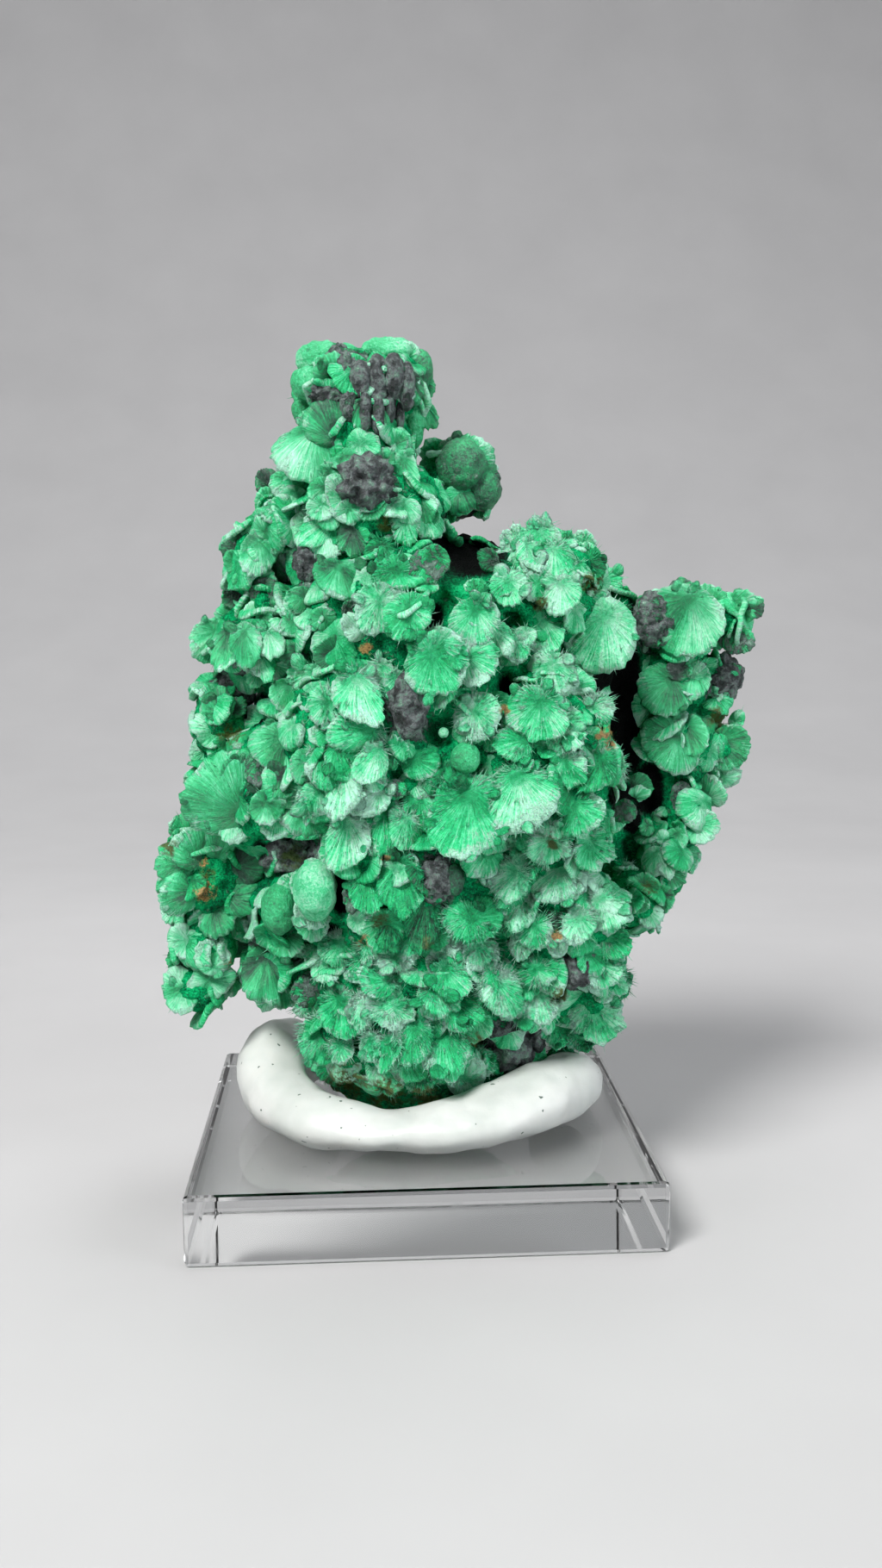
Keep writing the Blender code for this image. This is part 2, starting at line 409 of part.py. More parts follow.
def knob_shape(bm, entry):
    x, z, half_wide, half_high, lift = entry
    way, right, up = sight_frame(x, z)
    middle = first_surface(VIEW_POINT, way) - way * (lift - 0.8)
    ball_shape(bm, middle, (half_wide, 0.5 * (half_wide + half_high), half_high), (right, way, up))


def to_object(bm, name, home):
    mesh = bpy.data.meshes.new(name)
    for vert in bm.verts:
        vert.co *= MM
    bm.to_mesh(mesh)
    bm.free()
    made = bpy.data.objects.new(name, mesh)
    home.objects.link(made)
    return made


def grown_lobes():
    bm = bmesh.new()
    for lobe in LOBES:
        ball_shape(bm, Vector(lobe[:3]), lobe[3:], rings=12)
    return bm


def remeshed(source, name, home, voxel):
    """The source as one skin: the voxel remesh joins all that overlaps."""
    skin = source.modifiers.new("Join", 'REMESH')
    skin.mode = 'VOXEL'
    skin.voxel_size = voxel * MM
    mesh = bpy.data.meshes.new_from_object(source.evaluated_get(bpy.context.evaluated_depsgraph_get()))
    bpy.data.objects.remove(source, do_unlink=True)
    made = bpy.data.objects.new(name, mesh)
    home.objects.link(made)
    return made


def sink_pits(made):
    """Push the skin inwards round each pit's sight line, most at its middle."""
    lines = []
    for x, z, radius, depth in PITS:
        way, _, _ = sight_frame(x, z)
        lines.append((first_surface(VIEW_POINT, way), way, radius, depth))
    for vert in made.data.vertices:
        spot = vert.co / MM
        push = Vector()
        for middle, way, radius, depth in lines:
            off = spot - middle
            deep = off.dot(way)
            if deep > 4.0 or off.length > 3.0 * radius + 4.0:
                continue
            aside = (off - way * deep).length / radius
            push += way * (depth * math.exp(-aside ** 4))
        vert.co += push * MM


def only_outer_skin(made):
    """Drop the skins of enclosed hollows and any loose crumb, and keep the largest piece."""
    bm = bmesh.new()
    bm.from_mesh(made.data)
    left = set(bm.verts)
    islands = []
    while left:
        seed = left.pop()
        island, edge = [seed], [seed]
        while edge:
            vert = edge.pop()
            for link in vert.link_edges:
                other = link.other_vert(vert)
                if other in left:
                    left.remove(other)
                    island.append(other)
                    edge.append(other)
        islands.append(island)
    largest = max(islands, key=len)
    loose = [vert for island in islands if island is not largest for vert in island]
    bmesh.ops.delete(bm, geom=loose, context='VERTS')
    bmesh.ops.triangulate(bm, faces=bm.faces)
    bm.to_mesh(made.data)
    bm.free()


def bore_hole(made, cutters):
    """The small opening through the left shoulder, along the sight line through its middle."""
    way, _, _ = sight_frame(HOLE_X, HOLE_Z)
    bpy.ops.mesh.primitive_cylinder_add(vertices=10, radius=HOLE_RADIUS * MM, depth=30.0 * MM)
    drill = bpy.context.object
    drill.name = "shoulder_hole_cutter"
    drill.location = first_surface(VIEW_POINT, way) * MM
    drill.rotation_mode = 'QUATERNION'
    drill.rotation_quaternion = way.to_track_quat('Z', 'Y')
    drill.hide_render = True
    drill.display_type = 'WIRE'
    for home in drill.users_collection:
        home.objects.unlink(drill)
    cutters.objects.link(drill)
    cut = made.modifiers.new("Shoulder hole", 'BOOLEAN')
    cut.operation = 'DIFFERENCE'
    cut.solver = 'EXACT'
    cut.object = drill


def build_malachite(home, cutters):
    core = remeshed(to_object(grown_lobes(), "grown_lobes", home), "grown_core", home, VOXEL)
    sink_pits(core)
    bm = bmesh.new()
    bm.from_mesh(core.data)
    for vert in bm.verts:
        vert.co /= MM
    bpy.data.objects.remove(core, do_unlink=True)
    for entry in FRONT_FANS:
        if entry[2] >= SMALLEST_FAN:
            fan = front_fan(entry)
            fan_shape(bm, fan, 0.9 + 0.22 * fan[4])
    for fan in back_fans():
        fan_shape(bm, fan, 0.9 + 0.22 * fan[4])
    for entry in KNOBS:
        knob_shape(bm, entry)
    joined = to_object(bm, "malachite_parts", home)
    made = remeshed(joined, "malachite", home, VOXEL)
    only_outer_skin(made)
    made.data.materials.append(material("malachite", (0.05, 0.42, 0.20), 0.45))
    thin = made.modifiers.new("Coarser", 'DECIMATE')
    thin.ratio = MALACHITE_TRIANGLES / len(made.data.polygons)
    bore_hole(made, cutters)
    return made


def smooth_line(points, steps):
    """Catmull-Rom points through a list of equal-length tuples."""
    ends = [points[0]] + list(points) + [points[-1]]
    made = []
    for i in range(1, len(ends) - 2):
        for s in range(steps):
            t = s / steps
            made.append(tuple(
                0.5 * (2 * b + (c - a) * t + (2 * a - 5 * b + 4 * c - d) * t * t
                       + (3 * b - a - 3 * c + d) * t ** 3)
                for a, b, c, d in zip(ends[i - 1], ends[i], ends[i + 1], ends[i + 2])))
    return made + [tuple(points[-1])]


def press_against(putty, stone):
    """Move the putty's skin clear of the stone, as soft tack gives way to what is set in it."""
    graph = bpy.context.evaluated_depsgraph_get()
    tree = BVHTree.FromObject(stone, graph)
    clearance = PRESS_CLEARANCE * MM
    for vert in putty.data.vertices:
        spot, normal, _, distance = tree.find_nearest(vert.co, 3.0 * MM)
        if spot is None:
            continue
        away = vert.co - spot
        inside = away.dot(normal) < 0.0
        if inside or distance < clearance:
            moved = spot + (normal if inside else away.normalized()) * clearance
            moved.z = max(moved.z, vert.co.z - MM, (SLAB_HEIGHT + TOUCH_GAP) * MM)
            vert.co = moved


def build_putty(home, stone):
    """A hand-rolled strip: round sections along its middle line, flat where it is pressed down."""
    rows = smooth_line(PUTTY_LINE, PUTTY_STEPS)
    floor = SLAB_HEIGHT + TOUCH_GAP
    bm = bmesh.new()
    bmesh.ops.create_cone(bm, cap_ends=True, segments=PUTTY_SIDES, radius1=1.0, radius2=1.0, depth=2.0)
    caps = [face for face in bm.faces if len(face.verts) > 4]
    rings = [sorted(face.verts, key=lambda v: math.atan2(v.co.y, v.co.x)) for face in caps]
    rings.sort(key=lambda ring: ring[0].co.z)
    sides = [edge for edge in bm.edges if abs(edge.verts[0].co.z - edge.verts[1].co.z) > 1.0]
    bmesh.ops.subdivide_edges(bm, edges=sides, cuts=len(rows) - 2, use_grid_fill=True)
    last = len(rows) - 1
    for vert in bm.verts:
        spot = vert.co.copy()
        row = round((spot.z + 1.0) / 2.0 * last)
        x, y, half_wide, half_high = rows[row]
        before, after = rows[max(row - 1, 0)], rows[min(row + 1, last)]
        course = Vector((after[0] - before[0], after[1] - before[1], 0.0)).normalized()
        outward = Vector((course.y, -course.x, 0.0))
        taper = min(1.0, 0.45 + 0.55 * min(row, last - row) / 1.0)
        high = floor + half_high * (1.0 + taper * spot.y)
        flat = max(high, floor)
        vert.co = Vector((x, y, 0.0)) + outward * (half_wide * taper * spot.x)
        vert.co.z = flat
    bmesh.ops.recalc_face_normals(bm, faces=bm.faces)
    made = to_object(bm, "mounting_putty", home)
    press_against(made, stone)
    made.data.materials.append(material("mounting_putty", (0.78, 0.80, 0.79), 0.5))
    return made


def build_slab(home):
    half = SLAB_HEIGHT / 2.0
    bm = bmesh.new()
    bmesh.ops.create_cube(bm, size=1.0)
    for vert in bm.verts:
        vert.co = Vector((vert.co.x * SLAB_SIDE, vert.co.y * SLAB_SIDE, vert.co.z * SLAB_HEIGHT + half))
    made = to_object(bm, "acrylic_base", home)
    arris = made.modifiers.new("Arris", 'BEVEL')
    arris.width = SLAB_EDGE * MM
    arris.segments = 2
    made.data.materials.append(material("acrylic_base", (0.92, 0.95, 0.95), 0.05, alpha=0.25))
    return made


def main():
    clear_scene()
    home = bpy.data.collections.new("malachite_specimen")
    cutters = bpy.data.collections.new("cutters")
    for made in (home, cutters):
        bpy.context.scene.collection.children.link(made)
    stone = build_malachite(home, cutters)
    bpy.context.view_layer.update()
    build_putty(home, stone)
    build_slab(home)


main()
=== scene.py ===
# %% [markdown]
# # A malachite cluster on a clear acrylic block
#
# This lesson dresses a finished solid model in its real surface. The solid has the lobes and the larger
# fans of the mineral. Here every fan is grown again with its fibres, its pale velvety rim and its colour,
# and the putty and the acrylic get their own finish.

# %% Load the frame
import math
import random

import bmesh
import bpy
import numpy as np
from mathutils import Matrix, Vector


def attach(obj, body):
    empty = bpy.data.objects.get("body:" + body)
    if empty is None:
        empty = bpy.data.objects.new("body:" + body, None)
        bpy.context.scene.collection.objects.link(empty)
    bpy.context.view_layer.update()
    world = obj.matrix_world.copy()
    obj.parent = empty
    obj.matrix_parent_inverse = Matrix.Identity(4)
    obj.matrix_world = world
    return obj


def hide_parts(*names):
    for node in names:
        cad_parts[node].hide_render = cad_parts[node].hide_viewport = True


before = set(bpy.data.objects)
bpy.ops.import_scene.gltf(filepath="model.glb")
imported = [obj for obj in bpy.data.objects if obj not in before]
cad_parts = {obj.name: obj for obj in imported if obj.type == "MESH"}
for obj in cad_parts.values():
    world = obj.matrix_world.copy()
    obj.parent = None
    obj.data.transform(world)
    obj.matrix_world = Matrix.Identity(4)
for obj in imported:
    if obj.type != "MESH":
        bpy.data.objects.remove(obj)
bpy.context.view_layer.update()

# %% [markdown]
# ## Sizes that everything is worked out from
#
# All lists are in millimetres, because that is how one measures a hand specimen. `MM` turns them into
# Blender's metres when a mesh is made. `VIEW_POINT` is the place from which the front was laid out: a fan
# is named by the x and z at which its sight line crosses the upright plane through the middle of the base.

# %% Driving sizes
MM = 0.001
VIEW_POINT = Vector((-4.7, -135.8, 52.7))
BODY = "root"
DOWN = Vector((0.0, 0.0, -1.0))

# %% [markdown]
# ## The camera
#
# The picture is 1024 wide and 1820 high. The camera stands a hand's length in front of the specimen, a
# little left of its middle, and looks slightly down and to the right.

# %% Camera
IMAGE_HEIGHT = 1820
FOCAL_PIXELS = 1714.0
YAW, PITCH, ROLL = 0.0524, 0.1147, -0.0104


def camera_axes():
    ahead = Vector((math.sin(YAW) * math.cos(PITCH), math.cos(YAW) * math.cos(PITCH), -math.sin(PITCH)))
    level = Vector((math.cos(YAW), -math.sin(YAW), 0.0))
    upright = level.cross(ahead)
    right = level * math.cos(ROLL) + upright * math.sin(ROLL)
    return right, upright * math.cos(ROLL) - level * math.sin(ROLL), ahead


right, up, ahead = camera_axes()
camera = bpy.data.objects.new("camera", bpy.data.cameras.new("camera"))
bpy.context.scene.collection.objects.link(camera)
camera.data.sensor_width = 36.0
camera.data.lens = FOCAL_PIXELS / IMAGE_HEIGHT * camera.data.sensor_width
camera.data.clip_start = 0.005
camera.matrix_world = Matrix([[right[i], up[i], -ahead[i], VIEW_POINT[i] * MM] for i in range(3)]
                             + [[0.0, 0.0, 0.0, 1.0]])
bpy.context.scene.camera = camera
print("lens", round(camera.data.lens, 2), "mm")

# %% [markdown]
# ## The grown lobes
#
# Malachite grows as rounded lobes that run together. Each lobe is an ellipsoid: its middle and its half
# sizes along x, y and z. The same list made the solid model, so the skin made here lies where it lies.
# A pit is a dent between fans: the x and z at which it is seen, its radius and its depth. A hollow is an
# opening that looks black, and inside it the core's tone is painted black as painted shade: its x and z,
# and its half sizes. Knobs and columns are covered with a grey crust: x and z, half width, half height,
# how far they stand out, their tone and how crusty they are.

# %% Lobes
LOBES = [
    (0.5, -0.5, 11.5, 10, 6, 5.3),  # foot, inside the putty ring
    (2.5, -0.5, 19.5, 14, 9.5, 7),
    (1, 0, 30, 15.5, 11, 11),
    (1, 0.5, 42, 15.5, 11, 11),
    (0.5, 0.5, 51.5, 13.5, 10, 8.5),
    (-2, -6.5, 15.5, 7, 3.5, 5),  # front of the foot
    (11, -6.5, 38, 6.5, 5, 9.5),
    (12.5, -5, 24.5, 6, 5, 6.5),
    (-5, -7, 41, 6.5, 4, 8),
    (1, -7, 50.5, 6, 3.5, 5.5),
    (4.5, -8, 34.5, 3.5, 3, 4.5),
    (-13, -3, 37, 4.5, 5, 6),
    (12.5, 0, 54, 5, 6, 5.5),  # right shoulder
    (16, 0.5, 49.5, 3, 4, 4),
    (15.5, 0, 18, 3.6, 5.5, 5),
    (-13.5, 0.5, 50, 5, 6, 3.6),  # left shoulder, round its small hole
    (-14.6, 0.5, 57.2, 1.9, 4, 3.2),
    (-8.2, 0.5, 56.5, 2.6, 5.5, 4.5),
    (-11.5, 0.5, 61, 2.6, 4, 2.2),
    (-12.5, 0.5, 53.8, 2.6, 4.5, 1.5),
    (-4, 1, 61.5, 7.2, 6.5, 5.5),  # neck and peak
    (-4.8, 1, 68, 4.8, 5, 5.5),
    (-5.6, 0.5, 73.2, 3.2, 4, 2.9),
    (-1.6, 0.5, 73, 2.6, 3.6, 3.1),
    (4.2, 4.5, 64.8, 3.2, 2.8, 3.2),  # lobe behind the neck
    (-17.5, 1, 43, 2.6, 4.5, 4),  # left side
    (-17.5, 0.5, 36.5, 3.2, 4.5, 3.6),
    (-19, 1, 29, 4, 5, 4.4),
    (-19.6, 1, 22.8, 2.9, 4, 3),
    (-20.4, 0, 18.3, 2.7, 3.2, 2),
    (-14, 1, 20.5, 1.9, 4, 3.6),
    (-12.5, 0, 26, 3, 6, 4),
    (25.6, 6, 51.6, 3.8, 4, 2.6),  # right wing, curved forward from the back
    (30.2, 6.5, 52, 1.6, 2.6, 1.6),
    (25.8, 6, 46, 3.4, 3.4, 4),
    (29, 6.5, 45, 1.6, 2.6, 3.5),
    (26.2, 6, 39.8, 3.2, 3.4, 4.2),
    (29.5, 6.5, 39.4, 1.6, 2.6, 2),
    (26.2, 5.5, 33.4, 1.9, 3.2, 4),
    (23.8, 4, 28.6, 2.1, 3.6, 3.6),
    (20.8, 2.5, 25.4, 2.4, 4.5, 3),
    (19.5, 7.5, 44, 4.5, 2.6, 11),  # wall at the back of the cleft
    (22.8, 7, 36, 3.2, 2.6, 5),
    (20, 5, 31.5, 3, 3.5, 5),
    (-16.3, 2.5, 24.6, 2.3, 3.5, 2.6),
]
PITS = [
    (-6.9, 27.3, 1.5, 4), (-8, 23.4, 1.1, 3.5), (2.1, 24.6, 0.9, 3), (5, 59, 2.9, 5), (2.6, 53.2, 1.8, 2.5),
    (8.4, 46.2, 1.1, 2), (9, 52.2, 1, 2.5), (-14.6, 44.6, 1.3, 2.5), (-11.4, 30.8, 2.4, 2),
    (2.4, 42.2, 1.6, 2), (17.6, 36, 1.4, 3), (13.3, 16.8, 1.1, 2.5), (5.6, 12.8, 1, 2.5),
    (-5.4, 12.4, 0.8, 2), (-14.6, 30.6, 1, 3), (-15.4, 24.6, 1, 2.5), (20.4, 31, 1.5, 3),
    (16.3, 55, 0.8, 1.5), (-1.9, 38.7, 1.3, 1.5), (28.4, 42.8, 1, 1.5),
]
HOLE_X, HOLE_Z, HOLE_RADIUS = -11.0, 56.6, 1.2
HOLLOWS = [
    (5.3, 59, 3.3, 2.7), (18.7, 46.4, 2.2, 4.6), (20, 41.2, 1.3, 3.4), (20.3, 51.4, 0.8, 2),
    (21.8, 36.2, 1.3, 2.2), (19.2, 35.6, 1, 1.4), (20.3, 33.4, 0.8, 1.2), (-6.9, 26.8, 0.8, 1.8),
    (-15.3, 44.9, 1.8, 1), (-14.6, 43.6, 0.8, 0.8), (-10.6, 29.4, 0.9, 0.7), (8.5, 46, 0.5, 0.7),
    (2, 52.3, 0.6, 1.2), (8.4, 51, 0.7, 0.9), (2.1, 24.5, 0.6, 1), (-8, 23.4, 0.7, 0.6),
    (-14.5, 30.5, 0.6, 1.5), (5.6, 12.8, 0.6, 0.8),
]

KNOBS = [
    (-4.2, 64.6, 2.4, 2.2, 1.6, 0.25, 1), (-9.5, 57.4, 1.2, 1.6, 0.8, 0.20, 0.9),
    (-0.5, 44.2, 1.6, 2.9, 1.2, 0.30, 1), (8.6, 11.9, 2.2, 2.4, 0.6, 0.20, 0.9),
    (11.2, 12.8, 0.9, 1.4, 0.8, 0.30, 0.9), (15, 19.2, 1.5, 1.7, 0.6, 0.20, 0.9),
    (22.2, 51.9, 2, 2.4, 0.8, 0.40, 0.7), (28.8, 46.5, 1.8, 2.2, 0.4, 0.30, 0.9),
    (-16.4, 46.3, 1.9, 1.7, 0.3, 0.25, 0.8), (-6, 75.1, 1.6, 1.3, 0.6, 0.15, 0.7),
    (-11.4, 30.8, 2.6, 1.9, -1.6, 0.35, 1), (2, 28.2, 1.6, 2, 0.2, 0.15, 0.8),
    (-7.2, 72.3, 1.8, 1.2, 0.9, 0.15, 0.8),
]
COLUMNS = [
    (-4.4, 73.6, 1, 1.8, 1.3, 0.15, 0.85), (-2.9, 73.6, 1, 2.3, 1.5, 0.15, 0.9),
    (-1.4, 74, 1, 2, 1.3, 0.15, 0.9), (-0.3, 73, 0.8, 2.2, 1, 0.15, 0.8),
    (-5.5, 71.4, 0.8, 1.6, 1.4, 0.15, 0.6), (-4, 70.8, 0.6, 1.6, 1.7, 0.15, 0.8),
    (-2.9, 70.4, 0.6, 1.8, 1.7, 0.15, 0.8), (-1.9, 71.2, 0.6, 1.6, 1.5, 0.15, 0.85),
    (-1, 70.6, 0.5, 1.4, 1.3, 0.15, 0.7),
]
print(len(LOBES), "lobes,", len(PITS), "pits,", len(KNOBS), "knobs,", len(COLUMNS), "columns")

# %% [markdown]
# ## Where a sight line meets the lobes
#
# A line meets an ellipsoid where a quadratic says so. Dividing by the half sizes makes each ellipsoid a
# ball of radius one, which keeps the sum short. A line that misses every lobe takes the one it passes
# nearest, so that a fan on the outline still has something to grow from.

# %% Sight lines


def lobe_hit(lobe, origin, way):
    middle, half = lobe[:3], lobe[3:]
    start = Vector((origin[i] - middle[i]) / half[i] for i in range(3))
    step = Vector(way[i] / half[i] for i in range(3))
    a, b, c = step.dot(step), start.dot(step), start.dot(start) - 1.0
    closest = -b / a
    miss = (start + step * closest).length
    inside = b * b - a * c
    return (None if inside < 0.0 else (-b - math.sqrt(inside)) / a), closest, miss


def first_surface(origin, way):
    hits = [lobe_hit(lobe, origin, way) for lobe in LOBES]
    fronts = [hit[0] for hit in hits if hit[0] is not None]
    if fronts:
        return origin + way * min(fronts)
    return origin + way * min(hits, key=lambda hit: hit[2])[1]


def sight_frame(x, z):
    way = (Vector((x, 0.0, z)) - VIEW_POINT).normalized()
    across = way.cross(Vector((0.0, 0.0, 1.0))).normalized()
    return way, across, across.cross(way)


def lobe_normal(lobe, point):
    return Vector((point[i] - lobe[i]) / lobe[3 + i] ** 2 for i in range(3)).normalized()


def outside_lobes(point, own):
    """Whether a point on its own lobe lies outside all the others, or at most barely inside one."""
    return all(other is own or sum(((point[i] - other[i]) / other[3 + i]) ** 2 for i in range(3)) >= 0.96
               for other in LOBES)


print("the peak is seen at", [round(c, 1) for c in first_surface(VIEW_POINT, sight_frame(-3.0, 72.0)[0])])


# %% [markdown]
# ## Small helpers
#
# Operators act on what is selected, so each step starts by deselecting everything. A finished piece has
# its place in its mesh, so `settle` applies location, rotation and scale.

# %% Helpers


def deselect():
    for item in bpy.context.selected_objects:
        item.select_set(False)


def pick(item):
    deselect()
    item.select_set(True)
    bpy.context.view_layer.objects.active = item


def settle(item):
    pick(item)
    bpy.ops.object.transform_apply(location=True, rotation=True, scale=True)


def apply_modifiers(item):
    pick(item)
    for modifier in list(item.modifiers):
        bpy.ops.object.modifier_apply(modifier=modifier.name)


def join(items, name):
    deselect()
    for item in items:
        item.select_set(True)
    bpy.context.view_layer.objects.active = items[0]
    bpy.ops.object.join()
    items[0].name = name
    items[0].data.name = name
    return items[0]


def vertex_array(mesh):
    spots = np.empty(len(mesh.vertices) * 3)
    mesh.vertices.foreach_get("co", spots)
    return spots.reshape(-1, 3)


def put_vertices(mesh, spots):
    mesh.vertices.foreach_set("co", np.ascontiguousarray(spots, dtype=np.float32).ravel())
    mesh.update()


def write_attribute(mesh, name, rows):
    layer = mesh.attributes.new(name, 'FLOAT_VECTOR', 'POINT')
    layer.data.foreach_set("vector", np.ascontiguousarray(rows, dtype=np.float32).ravel())


def report(item):
    print(item.name, len(item.data.vertices), "vertices,",
          sum(len(face.vertices) - 2 for face in item.data.polygons), "triangles")


# %% [markdown]
# ## Shader helpers
#
# A material is a small network. Each function here adds one kind of node, links what goes into it and
# returns what comes out, so that each material below reads as a list of what it does.

# %% Shader helpers


def new_material(name):
    made = bpy.data.materials.new(name)
    made.use_nodes = True
    return made, made.node_tree, made.node_tree.nodes["Principled BSDF"]


def node(tree, kind, **settings):
    made = tree.nodes.new(kind)
    for key, value in settings.items():
        if hasattr(made, key):
            setattr(made, key, value)
        else:
            made.inputs[key.replace("_", " ")].default_value = value
    return made


def noise(tree, vector, scale, detail, roughness):
    made = node(tree, 'ShaderNodeTexNoise', Scale=scale, Detail=detail, Roughness=roughness)
    tree.links.new(vector, made.inputs["Vector"])
    return made.outputs["Fac"]


def maths(tree, operation, first, second, clamp=False):
    made = node(tree, 'ShaderNodeMath', operation=operation, use_clamp=clamp)
    for socket, value in zip(made.inputs, (first, second)):
        if isinstance(value, (int, float)):
            socket.default_value = value
        else:
            tree.links.new(value, socket)
    return made.outputs[0]


def spread(tree, value, low, high, to_low=0.0, to_high=1.0):
    made = node(tree, 'ShaderNodeMapRange', interpolation_type='SMOOTHSTEP')
    for key, number in (("From Min", low), ("From Max", high), ("To Min", to_low), ("To Max", to_high)):
        made.inputs[key].default_value = number
    tree.links.new(value, made.inputs["Value"])
    return made.outputs["Result"]


def ramp(tree, value, stops):
    made = node(tree, 'ShaderNodeValToRGB')
    for _ in range(len(stops) - 2):
        made.color_ramp.elements.new(0.5)
    for element, (place, colour) in zip(made.color_ramp.elements, stops):
        element.position = place
        element.color = (*colour, 1.0)
    tree.links.new(value, made.inputs["Fac"])
    return made.outputs["Color"]


def mix(tree, factor, first, second):
    made = node(tree, 'ShaderNodeMix', data_type='RGBA')
    for socket, value in ((made.inputs[0], factor), (made.inputs[6], first), (made.inputs[7], second)):
        if isinstance(value, tuple):
            socket.default_value = (*value, 1.0)
        elif isinstance(value, (int, float)):
            socket.default_value = value
        else:
            tree.links.new(value, socket)
    return made.outputs[2]


def bump(tree, heights):
    """Bump from a list of (height, depth in millimetres), one node after the other."""
    normal = None
    for height, depth in heights:
        made = node(tree, 'ShaderNodeBump', Strength=1.0)
        made.inputs["Distance"].default_value = depth * MM
        tree.links.new(height, made.inputs["Height"])
        if normal is not None:
            tree.links.new(normal, made.inputs["Normal"])
        normal = made.outputs["Normal"]
    return normal


# %% [markdown]
# ## The fibrous finish
#
# Malachite's green comes from copper, and its fibres make it silky. Where one looks along the sides of
# the fibres the stone is a deep, vivid green. Where they end, at a fan's rim, their tips scatter light
# and look like pale mint velvet. Each vertex carries three attributes. `fibre` holds its direction round
# its fan and a number for the fan, so that noise read there is drawn out along the fibres. `look` holds
# its tone, how crusty it is, and how near it is to the rim; the tone holds painted light and shade as
# well as the stone's own green. The third attribute holds the iron brown and the olive dust, and along
# the foot's bottom the olive is partly painted shade. The network adds streaks, cloudy patches and the
# rim to the tone, and a ramp turns that into colour. The same network makes three finishes: velvety with
# much grit, glassy with less grit and a thin grey veil, and a dull one for the core, the dark matrix
# between the fans, whose tone is painted black in the hollows as painted shade.

# %% Fibrous malachite material
GREENS = [
    (0.00, (0.0010, 0.0015, 0.0015)), (0.14, (0.001, 0.040, 0.018)), (0.30, (0.001, 0.150, 0.055)),
    (0.46, (0.001, 0.340, 0.110)), (0.60, (0.006, 0.490, 0.170)), (0.74, (0.075, 0.640, 0.300)),
    (0.88, (0.240, 0.740, 0.440)), (1.00, (0.420, 0.820, 0.620)),
]
CRUST_GREYS = [
    (0.00, (0.005, 0.006, 0.006)), (0.35, (0.045, 0.055, 0.058)), (0.60, (0.130, 0.155, 0.155)),
    (0.80, (0.100, 0.210, 0.155)), (1.00, (0.320, 0.440, 0.380)),
]


def split(tree, vector):
    made = node(tree, 'ShaderNodeSeparateXYZ')
    tree.links.new(vector, made.inputs[0])
    return list(made.outputs)


def stretched(tree, vector, scale):
    made = node(tree, 'ShaderNodeVectorMath', operation='MULTIPLY')
    tree.links.new(vector, made.inputs[0])
    made.inputs[1].default_value = scale
    return made.outputs[0]


def added(tree, value, parts):
    """The value plus patterns, each (pattern, from, to, least, most) spread over its own small range."""
    for part in parts:
        value = maths(tree, 'ADD', value, spread(tree, *part))
    return value


